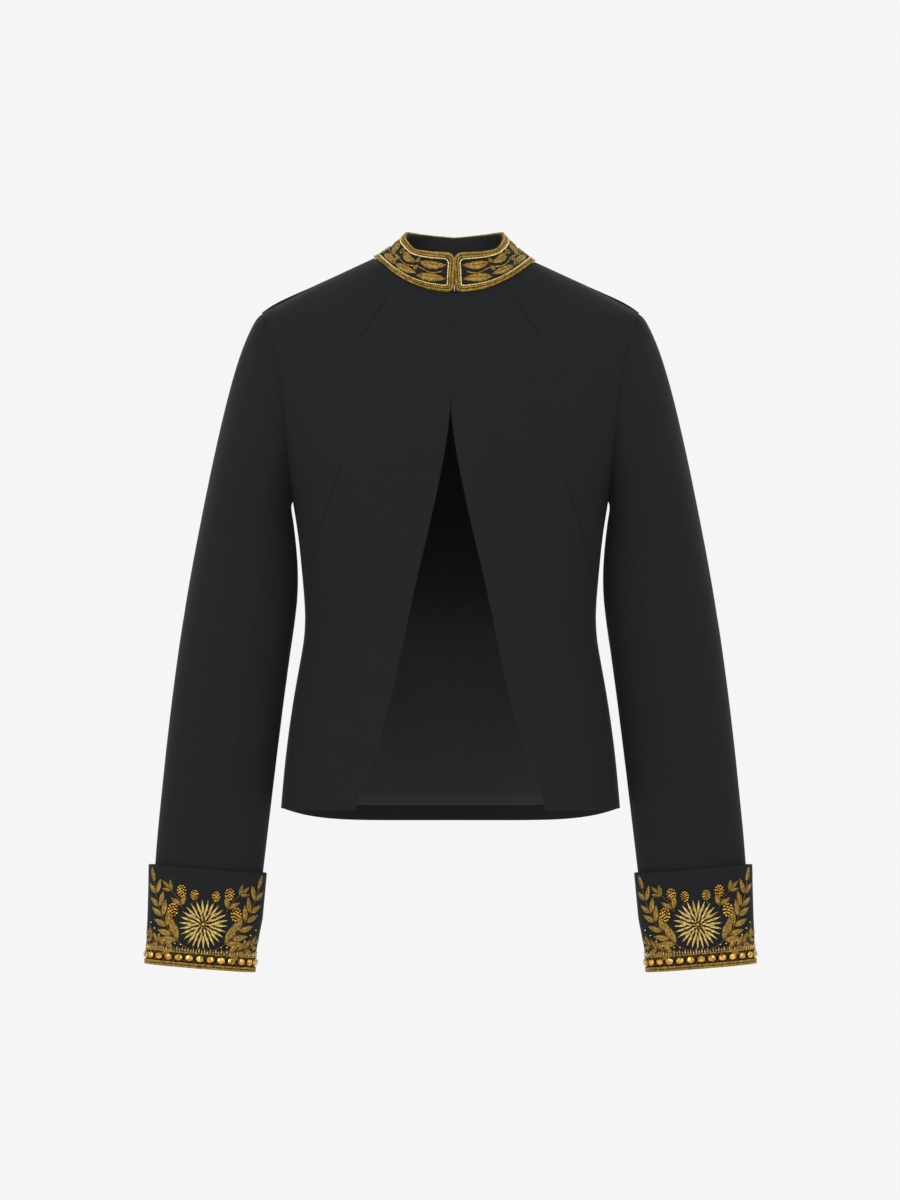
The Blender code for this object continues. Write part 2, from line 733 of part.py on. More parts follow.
def collar_corner(share, side, face):
    """A corner of the body's neckline moved off its edge towards the neck, where the band stands."""
    turn, height = neckline(share, side, face)
    point = torso_point(turn, height, side, face)
    near = [neckline(min(max(share + s, 0.0), 1.0), side, face) for s in (-0.02, 0.02)]
    along = torso_point(*near[1], side, face) - torso_point(*near[0], side, face)
    inward = np.cross(along, torso_normal(turn, height, side, face))
    inward /= np.linalg.norm(inward)
    towards = np.array((NECK_SHIFT, 0.0, 0.0)) - point
    if inward @ towards < 0:
        inward = -inward
    return point + SEAM_GAP * 1.2 * inward


def collar_base(share, side, face):
    """A point between two corners, so that the band follows the panels' straight stretches."""
    columns = FRONT_COLUMNS if face == "front" else CENTRE_BACK_COLUMNS
    before = min(int(share * columns), columns - 1)
    first, last = (collar_corner(step / columns, side, face) for step in (before, before + 1))
    return first + (last - first) * (share * columns - before)


def collar_top(angle, side, top_rule):
    """A point of the band's top edge; the angle is 0 at the front and half a circle at the back."""
    across, along = oval(angle)
    depth = COLLAR_TOP_FRONT if along > 0 else COLLAR_TOP_BACK
    x = NECK_SHIFT + side * COLLAR_TOP_HALF_WIDTH * across
    return np.array((x, -depth * along, top_rule(math.degrees(angle))))


def collar_places(side):
    """Base and top points of half the band, from the front edge to the centre back."""
    places = np.array(COLLAR_TOP_ROWS, float).T
    top_rule = smooth_rule(places[0], places[1] * MM)
    half = []
    for column in [0.0, 0.2, 0.5, *range(1, COLLAR_COLUMNS + 1)]:
        angle = math.pi * column / COLLAR_COLUMNS
        if angle <= math.pi / 2:
            base = collar_base(angle / (math.pi / 2), side, "front")
        else:
            base = collar_base((math.pi - angle) / (math.pi / 2), side, "back")
        half.append((base, collar_top(angle, side, top_rule)))
    front_base, front_top = half[0]
    for point in (front_base, front_top):
        point[0] = NECK_SHIFT + side * COLLAR_END_GAP
    return half


def corner_share(distance):
    """How much of the band's height is left near its rounded front corner."""
    if distance >= COLLAR_CORNER:
        return 1.0
    rest = COLLAR_CORNER - distance
    return 1.0 - (COLLAR_CORNER - math.sqrt(COLLAR_CORNER**2 - rest**2)) / COLLAR_HEIGHT


def collar_rise(along, up, height):
    """Relief of the band: a double cord on its edges and the leaf scroll between."""
    edges = min(up, height - up, along)
    if edges < COLLAR_CORD:
        return cord_rise(edges, COLLAR_CORD)
    return leaf_rise(along, up, COLLAR_LEAVES)


def build_collar(material):
    """The stand-up band, from the left front round the back to the right front."""
    shares = [0.0, 0.05, 0.12] + divide((0.17, 0.83), (6,)) + [0.88, 0.95, 1.0]
    columns = []
    for side in (1.0, -1.0):
        half = collar_places(side)
        distance = 0.0
        part = []
        for i, (base, top) in enumerate(half):
            if i:
                before = 0.5 * (half[i - 1][0] + half[i - 1][1])
                distance += float(np.linalg.norm(0.5 * (base + top) - before))
            part.append((base, top, distance))
        columns += part if side > 0 else part[-2::-1]
    plain = np.empty((len(shares), len(columns), 3))
    rises = np.empty((len(shares), len(columns)))
    for i, (base, top, distance) in enumerate(columns):
        left = corner_share(distance)
        out = np.array((base[0] - NECK_SHIFT, base[1], 0.0))
        out /= np.linalg.norm(out)
        for j, share in enumerate(shares):
            v = share * left
            bow = COLLAR_BOW * 4 * v * (1 - v)
            plain[j, i] = base + (top - base) * v + bow * out
            rises[j, i] = collar_rise(distance, v * COLLAR_HEIGHT, left * COLLAR_HEIGHT)
    normals = grid_normals(plain)
    middle = len(columns) // 2
    if normals[0, middle, 1] < 0:
        normals = -normals
    outer = plain + rises[:, :, None] * normals
    kept = [0, len(shares) // 2, len(shares) - 1]
    inner = (plain - COLLAR_WALL * normals)[kept]
    return wall("collar", material, outer, inner)


def bent_wire(name, material, points):
    """A wire bent along points, as a tube with closed ends."""
    curve = bpy.data.curves.new(name, "CURVE")
    curve.dimensions = "3D"
    curve.bevel_depth = WIRE_RADIUS
    curve.bevel_resolution = 1
    curve.use_fill_caps = True
    spline = curve.splines.new("POLY")
    spline.points.add(len(points) - 1)
    for spot, point in zip(spline.points, points):
        spot.co = (*point, 1.0)
    curve.materials.append(material)
    item = bpy.data.objects.new(name, curve)
    bpy.context.collection.objects.link(item)
    return item


def build_hook_and_eye(material):
    """A wire hook and eye just inside the collar's lower front corners."""
    base, top = collar_places(1.0)[0]
    lean = (top[1] - base[1]) / (top[2] - base[2])
    depth = base[1] + lean * (HOOK_HEIGHT - base[2]) + COLLAR_WALL + WIRE_RADIUS - 0.15 * MM
    arc = [math.pi * (0.15 + 1.7 * i / 10) for i in range(11)]
    eye = [
        (
            NECK_SHIFT + 2.6 * MM + EYE_RADIUS * math.cos(a - math.pi),
            depth,
            EYE_HEIGHT + EYE_RADIUS * math.sin(a - math.pi),
        )
        for a in arc
    ]
    bent_wire("eye", material, eye)
    reach = 5.0 * MM
    hook = [
        (NECK_SHIFT - reach, depth, HOOK_HEIGHT),
        (NECK_SHIFT - 1.0 * MM, depth, HOOK_HEIGHT),
        (NECK_SHIFT + 0.6 * MM, depth + 0.5 * MM, HOOK_HEIGHT - 0.4 * MM),
        (NECK_SHIFT + 1.0 * MM, depth + 1.6 * MM, HOOK_HEIGHT - 0.8 * MM),
        (NECK_SHIFT + 0.2 * MM, depth + 2.4 * MM, HOOK_HEIGHT - 0.8 * MM),
        (NECK_SHIFT - 2.0 * MM, depth + 2.4 * MM, HOOK_HEIGHT - 0.4 * MM),
    ]
    bent_wire("hook", material, hook)


def main():
    clear_scene()
    materials = {name: make_material(name) for name in FINISHES}
    for side in (-1.0, 1.0):
        build_front(side, materials["cloth"])
        build_back(side, materials["cloth"])
        build_sleeve(side, materials["cloth"])
        build_lining(side, materials["lining"])
        build_cuff(side, materials["goldwork"])
    build_collar(materials["goldwork"])
    build_hook_and_eye(materials["hook_metal"])


main()
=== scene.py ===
"""Dresses the cutaway jacket's frame: wool, lining, goldwork, hook and eye, and a plain studio.

Metres, +Z up, front towards -Y. Left and right are the wearer's own, so the right side lies at -X.
Lengths in tables are in mm, as their headings say.
"""

import json
import logging
import math
from collections.abc import Iterator
from contextlib import contextmanager
from dataclasses import dataclass, field, replace
from enum import Enum

import bmesh
import bpy
import numpy as np
from bpy.types import Material, Node, NodeSocket, NodeTree, Object
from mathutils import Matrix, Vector
from mathutils.bvhtree import BVHTree

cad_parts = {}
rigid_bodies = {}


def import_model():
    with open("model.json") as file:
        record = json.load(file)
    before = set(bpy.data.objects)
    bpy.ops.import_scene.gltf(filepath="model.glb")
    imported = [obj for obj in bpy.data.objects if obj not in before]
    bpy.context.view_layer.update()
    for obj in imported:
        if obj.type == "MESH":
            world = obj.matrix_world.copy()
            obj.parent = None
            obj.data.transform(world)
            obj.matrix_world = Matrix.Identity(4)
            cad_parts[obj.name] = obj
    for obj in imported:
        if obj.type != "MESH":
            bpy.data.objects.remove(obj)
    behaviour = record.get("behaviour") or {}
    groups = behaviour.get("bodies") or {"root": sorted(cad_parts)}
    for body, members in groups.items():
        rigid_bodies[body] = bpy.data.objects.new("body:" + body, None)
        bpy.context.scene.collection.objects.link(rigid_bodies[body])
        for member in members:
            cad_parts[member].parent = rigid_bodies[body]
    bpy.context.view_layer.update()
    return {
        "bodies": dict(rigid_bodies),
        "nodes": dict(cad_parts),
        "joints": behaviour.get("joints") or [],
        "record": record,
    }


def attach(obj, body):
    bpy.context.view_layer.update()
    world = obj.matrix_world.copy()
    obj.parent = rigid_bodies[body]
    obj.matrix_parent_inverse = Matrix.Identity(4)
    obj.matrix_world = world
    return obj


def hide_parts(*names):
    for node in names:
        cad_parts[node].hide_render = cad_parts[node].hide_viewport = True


MM = 0.001
TURN = 2 * math.pi
LOG = logging.getLogger("jacket")

# Faces of a wall that meet at more than SHARP form its rim's edge, and a rim's faces are narrower
# than THIN. Inside a wall's sides, faces that meet at more than LEDGE are a flaw
SHARP = math.radians(50)
LEDGE = math.radians(30)
THIN = 2.6 * MM

Array = np.ndarray
Pair = tuple[float, float]
Triple = tuple[float, float, float]


class Side(Enum):
    """The wearer's two sides, by the sign of X."""

    LEFT = 1.0
    RIGHT = -1.0

    @property
    def label(self) -> str:
        """The side's word in a piece's name."""
        return self.name.lower()


class Face(Enum):
    """Which way a stretch of cloth looks, by the sign of Y."""

    FRONT = -1.0
    BACK = 1.0


# Paths


def unit(arrows: Array) -> Array:
    """The same directions at length 1."""
    return arrows / np.maximum(np.linalg.norm(arrows, axis=-1, keepdims=True), 1e-9)


def lengths(path: Array) -> Array:
    """The length gone at each place of a path, from 0 at its first."""
    return np.concatenate(([0.0], np.cumsum(np.linalg.norm(np.diff(path, axis=0), axis=1))))


def places_at(path: Array, gone: Array, at: Array) -> Array:
    """A path's places at some lengths along it; gone is the length at each of its own places."""
    return np.stack([np.interp(at, gone, path[:, i]) for i in range(3)], axis=1)


def bow(start: Pair, guide: Pair, end: Pair, count: int) -> Array:
    """Places of a flat curve that leaves its start towards its guide and comes from there to its end."""
    share = np.linspace(0.0, 1.0, count)[:, None]
    parts = ((1 - share) ** 2, start), (2 * share * (1 - share), guide), (share**2, end)
    return sum(weight * np.array(place) for weight, place in parts)


def oval(angle: float, power: float) -> Pair:
    """A point of a squared oval of half sizes 1, as sine and cosine are of a circle."""
    sine, cosine = math.sin(angle), math.cos(angle)
    share = 2.0 / power
    return math.copysign(abs(sine) ** share, sine), math.copysign(abs(cosine) ** share, cosine)


# Modelling


def is_folded(edge: bmesh.types.BMEdge, angle: float = SHARP) -> bool:
    """Whether an edge's two faces meet at more than an angle."""
    return len(edge.link_faces) == 2 and edge.calc_face_angle() > angle


def width_of(face: bmesh.types.BMFace) -> float:
    """The length of a face's shortest edge."""
    return min(edge.calc_length() for edge in face.edges)


class Workshop:
    """Blender's modelling tools, each used on one object at a time."""

    @staticmethod
    def choose(item: Object) -> None:
        """Selects one object alone and makes it active."""
        bpy.ops.object.select_all(action="DESELECT")
        item.select_set(True)
        bpy.context.view_layer.objects.active = item

    @staticmethod
    def add(name: str, data: bpy.types.ID) -> Object:
        """A new object at the origin of the scene."""
        item = bpy.data.objects.new(name, data)
        bpy.context.scene.collection.objects.link(item)
        return item

    @staticmethod
    @contextmanager
    def editing(item: Object, everything: bool = True) -> Iterator[None]:
        """Edit mode on one object, with its whole mesh selected or its selection as it was."""
        Workshop.choose(item)
        bpy.ops.object.mode_set(mode="EDIT")
        if everything:
            bpy.ops.mesh.select_all(action="SELECT")
        yield
        bpy.ops.object.mode_set(mode="OBJECT")

    @staticmethod
    @contextmanager
    def unpicked(item: Object) -> Iterator[bmesh.types.BMesh]:
        """An object's mesh with its single points, edges and faces at hand, put back when done."""
        mesh = bmesh.new()
        mesh.from_mesh(item.data)
        mesh.normal_update()
        yield mesh
        mesh.to_mesh(item.data)
        mesh.free()

    @staticmethod
    def apply(item: Object, kind: str, **settings: object) -> None:
        """Adds a modifier with these settings by name to an object and applies it."""
        Workshop.choose(item)
        modifier = item.modifiers.new(kind.title(), kind)
        for name, value in settings.items():
            setattr(modifier, name, value)
        bpy.ops.object.modifier_apply(modifier=modifier.name)

    @staticmethod
    def join_rims(item: Object, reach: float = 0.02 * MM) -> None:
        """Merges points that are within reach of each other and points the faces outwards."""
        with Workshop.editing(item):
            bpy.ops.mesh.remove_doubles(threshold=reach)
            bpy.ops.mesh.normals_make_consistent(inside=False)

    @staticmethod
    def copy_node(node: Object, name: str) -> Object:
        """A copy of a solid as one merged skin of mostly four-sided faces.

        Args:
            node: The solid's object, whose mesh is left alone.
            name: The copy's name.

        Returns:
            The new object, at the origin.
        """
        skin = Workshop.add(name, node.data.copy())
        skin.data.name = name
        skin.data.materials.clear()
        Workshop.join_rims(skin, 0.01 * MM)
        Workshop.turn_ledges(skin)
        with Workshop.editing(skin, everything=False):
            bpy.ops.mesh.tris_convert_to_quads(
                face_threshold=math.radians(40), shape_threshold=math.radians(80)
            )
        return skin

    @staticmethod
    def turn_ledges(skin: Object, rounds: int = 3) -> None:
        """Turns the edges that cut across the curve of a wall's side and leave a ledge in it.

        Args:
            skin: The wall, in three-sided faces.
            rounds: How often this is done, because a turned edge can bare another ledge.
        """
        with Workshop.unpicked(skin) as mesh:
            for _ in range(rounds):
                mesh.normal_update()
                wide = {face for face in mesh.faces if width_of(face) > THIN}
                inner = [edge for edge in mesh.edges if wide.issuperset(edge.link_faces)]
                ledges = [edge for edge in inner if is_folded(edge, LEDGE)]
                bmesh.ops.beautify_fill(mesh, faces=mesh.faces, edges=ledges, method="ANGLE")

    @staticmethod
    def refine(skin: Object, levels: int) -> None:
        """Subdivides a wall smoothly while its rims stay where they are."""
        with Workshop.unpicked(skin) as mesh:
            layers = mesh.edges.layers.float
            held = layers.get("crease_edge") or layers.new("crease_edge")
            for edge in mesh.edges:
                if is_folded(edge):
                    edge[held] = 1.0
        Workshop.apply(skin, "SUBSURF", levels=levels, render_levels=levels)

    @staticmethod
    def tree(node: Object) -> BVHTree:
        """A solid's faces, ready to be searched."""
        corners = [vertex.co.copy() for vertex in node.data.vertices]
        return BVHTree.FromPolygons(corners, [tuple(face.vertices) for face in node.data.polygons])

    @staticmethod
    def close_seams(skin: Object, reach: float, deep: float, others: list[BVHTree]) -> None:
        """Moves a wall's rims out until pieces that are sewn together meet.

        Args:
            skin: The wall, before it is made finer.
            reach: How far each rim moves.
            deep: How far a rim moves where it is set into another piece.
            others: The pieces that it is set into.
        """
        pushed: dict[int, Vector] = {}
        with Workshop.unpicked(skin) as mesh:
            for face in mesh.faces:
                if any(is_folded(edge) for edge in face.edges) and width_of(face) < THIN:
                    for vertex in face.verts:
                        push = pushed.setdefault(vertex.index, Vector())
                        push += max(0.0, 1.0 - push.dot(face.normal)) * face.normal
            for vertex in mesh.verts:
                if vertex.index in pushed:
                    near = any(tree.find_nearest(vertex.co, 0.5 * THIN)[0] for tree in others)
                    vertex.co += (deep if near else reach) * pushed[vertex.index]

    @staticmethod
    def round_rims(skin: Object, offset: float, segments: int = 2) -> None:
        """Rounds the sharp rims of a wall, as cloth turns over at an edge."""
        with Workshop.editing(skin):
            bpy.ops.mesh.select_mode(type="EDGE")
            bpy.ops.mesh.select_all(action="DESELECT")
            bpy.ops.mesh.edges_select_sharp(sharpness=SHARP)
            bpy.ops.mesh.bevel(offset=offset, segments=segments, affect="EDGES", clamp_overlap=True)
            bpy.ops.mesh.select_all(action="SELECT")
            bpy.ops.mesh.normals_make_consistent(inside=False)

    @staticmethod
    def smooth(item: Object, angle: float = 42.0) -> None:
        """Shades an object smooth up to an angle in degrees."""
        Workshop.choose(item)
        bpy.ops.object.shade_smooth_by_angle(angle=math.radians(angle))

    @staticmethod
    def sheet(name: str, places: Array) -> Object:
        """A sheet through places, an array of rows by columns by 3 in metres."""
        rows, columns = places.shape[:2]
        bpy.ops.object.select_all(action="DESELECT")
        bpy.ops.mesh.primitive_grid_add(
            x_subdivisions=columns - 1, y_subdivisions=rows - 1, size=1.0
        )
        sheet = bpy.context.active_object
        sheet.name = sheet.data.name = name
        sheet.data.vertices.foreach_set("co", places.reshape(-1))
        sheet.data.update()
        return sheet

    @staticmethod
    def hand_over(item: Object, slot: str, node: str = "") -> Object:
        """Lets a finished piece ride on the jacket and hides the solid it stands for."""
        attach(item, "root")
        if node:
            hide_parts(node)
        return item


# Materials


class Shader:
    """A material's nodes, or a node group's, with short calls to add and link them."""

    def __init__(self, tree: NodeTree) -> None:
        self.tree = tree

    def fill(self, node: Node, inputs: dict) -> Node:
        """Gives a node's inputs, by name or index, their values or output sockets."""
        for place, value in inputs.items():
            if isinstance(value, NodeSocket):
                self.tree.links.new(value, node.inputs[place])
            else:
                node.inputs[place].default_value = value
        return node

    def node(self, kind: str, inputs: dict, **settings: object) -> Node:
        """Adds a node.

        Args:
            kind: The node's type without its ShaderNode prefix, or a whole type name.
            inputs: Values or output sockets for its inputs, by name or index.
            settings: The node's own properties.

        Returns:
            The new node.
        """
        made = self.tree.nodes.new(kind if kind.startswith("Node") else "ShaderNode" + kind)
        for name, value in settings.items():
            setattr(made, name, value)
        return self.fill(made, inputs)

    def maths(self, operation: str, first: object, second: object = 0.0) -> NodeSocket:
        """The result of one Math node."""
        return self.node("Math", {0: first, 1: second}, operation=operation).outputs[0]

    def vectors(self, operation: str, first: object, second: object) -> Node:
        """A Vector Math node."""
        return self.node("VectorMath", {0: first, 1: second}, operation=operation)

    def noise(self, place: NodeSocket, scale: float, detail: float, rough: float = 0.5) -> NodeSocket:
        """A cloudy noise between 0 and 1."""
        inputs = {"Vector": place, "Scale": scale, "Detail": detail, "Roughness": rough}
        return self.node("TexNoise", inputs).outputs["Fac"]

    def ranged(
        self, value: NodeSocket, ends: tuple, to: Pair = (0.0, 1.0), soft: bool = False
    ) -> NodeSocket:
        """A value between two ends turned into one between two others, evenly or with soft ends."""
        names = ("From Min", "From Max", "To Min", "To Max")
        kind = "SMOOTHSTEP" if soft else "LINEAR"
        inputs = {"Value": value, **dict(zip(names, (*ends, *to)))}
        return self.node("MapRange", inputs, interpolation_type=kind).outputs[0]

    def mix(self, share: NodeSocket, low: object, high: object) -> NodeSocket:
        """The colour between two colours, each a socket or red, green and blue."""
        low, high = (ink if isinstance(ink, NodeSocket) else (*ink, 1.0) for ink in (low, high))
        return self.node("Mix", {0: share, 6: low, 7: high}, data_type="RGBA").outputs[2]

    def bump(self, height: NodeSocket, strength: float, depth: float) -> NodeSocket:
        """The normal of a surface raised by a height, depth in mm."""
        inputs = {"Strength": strength, "Distance": depth * MM, "Height": height}
        return self.node("Bump", inputs).outputs[0]

    def group(self, tree: NodeTree, inputs: dict) -> Node:
        """Adds a node group with values or sockets for its inputs."""
        return self.node("Group", inputs, node_tree=tree)


class Effects:
    """Node groups that several finishes share."""

    @staticmethod
    def start(name: str, inputs: dict[str, str], outputs: dict[str, str]) -> tuple:
        """A new group with its sockets.

        Args:
            name: The group's name.
            inputs: Socket types by input name.
            outputs: Socket types by output name.

        Returns:
            The tree, its Shader, the input node's outputs and the output node.
        """
        tree = bpy.data.node_groups.new(name, "ShaderNodeTree")
        for way, sockets in (("INPUT", inputs), ("OUTPUT", outputs)):
            for label, kind in sockets.items():
                tree.interface.new_socket(label, in_out=way, socket_type="NodeSocket" + kind)
        shader = Shader(tree)
        entry = shader.node("NodeGroupInput", {})
        return tree, shader, entry.outputs, shader.node("NodeGroupOutput", {})

    @staticmethod
    def crepe() -> NodeTree:
        """Fine pebbled twill: a height, and a mottle between 0 and 1."""
        tree, shader, given, out = Effects.start(
            "Crepe", {"Vector": "Vector"}, {"Height": "Float", "Mottle": "Float"}
        )
        place = given["Vector"]
        pebble = shader.noise(place, 1500.0, 3.0, 0.65)
        wave = {"Vector": place, "Scale": 260.0, "Distortion": 1.6, "Detail": 2.0, "Detail Scale": 3.0}
        twill = shader.node("TexWave", wave, wave_type="BANDS", bands_direction="DIAGONAL")
        ribs = shader.maths("MULTIPLY", twill.outputs["Fac"], 0.4)
        fleck = shader.maths("MULTIPLY", pebble, 0.5)
        cloud = shader.maths("MULTIPLY", shader.noise(place, 34.0, 5.0, 0.6), 0.5)
        height, mottle = shader.maths("ADD", pebble, ribs), shader.maths("ADD", fleck, cloud)
        shader.fill(out, {"Height": height, "Mottle": mottle})
        return tree

    @staticmethod
    def seam_line() -> NodeTree:
        """A straight sewn line seen from the front: 1 on the line and 0 a width away."""
        tree, shader, given, out = Effects.start(
            "SeamLine",
            {"Vector": "Vector", "Start": "Vector", "End": "Vector", "Width": "Float"},
            {"Mask": "Float"},
        )
        flat = shader.vectors("MULTIPLY", given["Vector"], (1.0, 0.0, 1.0)).outputs[0]
        along = shader.vectors("SUBTRACT", given["End"], given["Start"]).outputs[0]
        here = shader.vectors("SUBTRACT", flat, given["Start"]).outputs[0]
        over = shader.vectors("DOT_PRODUCT", here, along).outputs["Value"]
        under = shader.vectors("DOT_PRODUCT", along, along).outputs["Value"]
        share = shader.node("Clamp", {"Value": shader.maths("DIVIDE", over, under)}).outputs[0]
        reach = shader.node("VectorMath", {0: along, "Scale": share}, operation="SCALE").outputs[0]
        off = shader.vectors("DISTANCE", here, reach).outputs["Value"]
        shader.fill(out, {"Mask": shader.ranged(off, (given["Width"], 0.0), soft=True)})
        return tree

    @staticmethod
    def threads() -> NodeTree:
        """Metal thread laid aslant from a middle vein, by texture coordinates in threads."""
        tree, shader, given, out = Effects.start(
            "LaidThreads",
            {"Vector": "Vector", "Slant": "Float"},
            {"Height": "Float", "Vein": "Float"},
        )
        parts = shader.node("SeparateXYZ", {0: given["Vector"]}).outputs
        across = shader.maths("ABSOLUTE", shader.maths("SUBTRACT", parts[1], 0.5))
        lean = shader.maths("MULTIPLY", across, given["Slant"])
        turn = shader.maths("MULTIPLY", shader.maths("SUBTRACT", parts[0], lean), TURN)
        vein = shader.ranged(across, (0.09, 0.0))
        shader.fill(out, {"Height": shader.maths("SINE", turn), "Vein": vein})
        return tree


@dataclass(frozen=True)
class Finish:
    """A named material made of nodes."""

    name: str

    def start(self) -> tuple[Material, Shader, Node, bpy.types.bpy_prop_collection]:
        """A new material, its nodes, its Principled shader and its texture coordinates."""
        material = bpy.data.materials.new(self.name)
        material.use_nodes = True
        shader = Shader(material.node_tree)
        place = shader.node("TexCoord", {}).outputs
        return material, shader, material.node_tree.nodes["Principled BSDF"], place


@dataclass(frozen=True)
class Wool(Finish):
    """Black wool crepe, with darts sewn in as lines of x and z in mm and painted shade along them."""

    colour: Triple = (0.0099, 0.0108, 0.0116)
    lighter: Triple = (0.0135, 0.0146, 0.0155)
    # The darts' colour is painted shade, standing in for the shade in their grooves
    sewn: Triple = (0.003, 0.003, 0.0032)
    darts: tuple[tuple[Pair, ...], ...] = ()
    dart_width: float = 1.1
    dart_depth: float = 5.0
    dart_shade: float = 0.55

    def build(self, crepe: NodeTree, line: NodeTree) -> Material:
        """Makes the material from the shared groups."""
        material, shader, skin, place = self.start()
        weave = shader.group(crepe, {"Vector": place["Object"]}).outputs
        colour = shader.mix(weave["Mottle"], self.colour, self.lighter)
        height = weave["Height"]
        for dart in self.darts:
            for (x, z), (next_x, next_z) in zip(dart, dart[1:]):
                ends = {"Start": (x * MM, 0.0, z * MM), "End": (next_x * MM, 0.0, next_z * MM)}
                inputs = {"Vector": place["Object"], **ends, "Width": self.dart_width * MM}
                mask = shader.group(line, inputs).outputs["Mask"]
                dip = shader.maths("MULTIPLY", mask, self.dart_depth)
                height = shader.maths("SUBTRACT", height, dip)
                # Painted shade: each dart's line is darkened towards that colour
                shade = shader.maths("MULTIPLY", mask, self.dart_shade)
                colour = shader.mix(shade, colour, self.sewn)
        looks = {"Base Color": colour, "Normal": shader.bump(height, 0.5, 0.12), "Roughness": 0.88}
        sheen = {"Specular IOR Level": 0.1, "Sheen Weight": 0.04, "Sheen Roughness": 0.45}
        shader.fill(skin, looks | sheen)
        return material


@dataclass(frozen=True)
class Satin(Finish):
    """Plain lining satin, a dark grey, with painted shade that makes it near black over the shoulder
    blades and painted light that makes it paler along its bottom edge.

    The painted shade and the painted light each have the height in mm where they start, the height
    where they are whole, and the colour they give.
    """

    colour: Triple = (0.0205, 0.02, 0.0216)
    yoke: tuple[float, float, Triple] = (-362.0, -334.0, (0.0165, 0.0168, 0.0178))
    fold: tuple[float, float, Triple] = (-531.0, -537.0, (0.0245, 0.025, 0.026))
    weave: Triple = (2600.0, 2600.0, 420.0)
    shadow: float = 0.82

    def build(self) -> Material:
        """Makes the material."""
        material, shader, skin, place = self.start()
        warp = shader.vectors("MULTIPLY", place["Object"], self.weave).outputs[0]
        thread = shader.noise(warp, 1.0, 2.0)
        deep = tuple(self.shadow * value for value in self.colour)
        colour = shader.mix(shader.noise(place["Object"], 22.0, 3.0), deep, self.colour)
        height = shader.node("SeparateXYZ", {0: place["Object"]}).outputs[2]
        # Painted shade darkens the lining near black at the top of the hollow, and painted light makes it
        # paler along its bottom edge
        for start, whole, shade in (self.yoke, self.fold):
            share = shader.ranged(height, (start * MM, whole * MM), soft=True)
            colour = shader.mix(share, colour, shade)
        rough = shader.ranged(thread, (0.0, 1.0), (0.42, 0.56))
        looks = {"Base Color": colour, "Normal": shader.bump(thread, 0.25, 0.05)}
        shader.fill(skin, {**looks, "Roughness": rough, "Specular IOR Level": 0.14})
        return material


@dataclass(frozen=True)
class MetalThread(Finish):
    """Metal thread, wire or purl, with painted shade between its threads, and tarnished at random."""

    bright: Triple
    deep: Triple
    roughness: float = 0.34
    metallic: float = 0.9
    slant: float = 0.0
    vein: Triple | None = None
    least_light: float = 0.4

    def build(self, threads: NodeTree) -> Material:
        """Makes the material; texture coordinates count the threads laid side by side."""
        material, shader, skin, place = self.start()
        laid = shader.group(threads, {"Vector": place["UV"], "Slant": self.slant}).outputs
        tarnish = shader.noise(place["Object"], 420.0, 4.0, 0.7)
        # Painted shade: the colour falls towards the deep colour in the hollows between laid threads
        ridge = shader.ranged(laid["Height"], (-1.0, 0.6))
        worn = shader.ranged(tarnish, (0.34, 0.62))
        light = shader.maths("MULTIPLY", ridge, 1.0 - self.least_light)
        light = shader.maths("MULTIPLY", shader.maths("ADD", light, self.least_light), worn)
        colour = shader.mix(light, self.deep, self.bright)
        if self.vein:
            colour = shader.mix(laid["Vein"], colour, self.vein)
        looks = {"Base Color": colour, "Normal": shader.bump(laid["Height"], 0.7, 0.12)}
        shader.fill(skin, {**looks, "Metallic": self.metallic, "Roughness": self.roughness})
        return material


@dataclass(frozen=True)
class Glass(Finish):
    """Lined glass of a faceted bead."""

    colour: Triple = (0.78, 0.46, 0.05)
    deep: Triple = (0.2, 0.08, 0.008)

    def build(self) -> Material:
        """Makes the material, deeper in colour in patches."""
        material, shader, skin, place = self.start()
        share = shader.ranged(shader.noise(place["Object"], 330.0, 2.0), (0.35, 0.65))
        looks = {"Base Color": shader.mix(share, self.deep, self.colour), "Metallic": 0.85}
        coat = {"Roughness": 0.14, "Coat Weight": 0.6, "Coat Roughness": 0.05}
        shader.fill(skin, looks | coat)
        return material


@dataclass(frozen=True)
class Wire(Finish):
    """Drawn steel wire."""

    colour: Triple = (0.62, 0.62, 0.6)
    shadow: float = 0.8

    def build(self) -> Material:
        """Makes the material, with fine drawing marks."""
        material, shader, skin, place = self.start()
        marks = shader.noise(place["Object"], 2400.0, 2.0)
        dull = tuple(self.shadow * value for value in self.colour)
        looks = {"Base Color": shader.mix(marks, dull, self.colour), "Metallic": 1.0}
        shader.fill(skin, {**looks, "Roughness": shader.ranged(marks, (0.0, 1.0), (0.2, 0.38))})
        return material


# Cloth


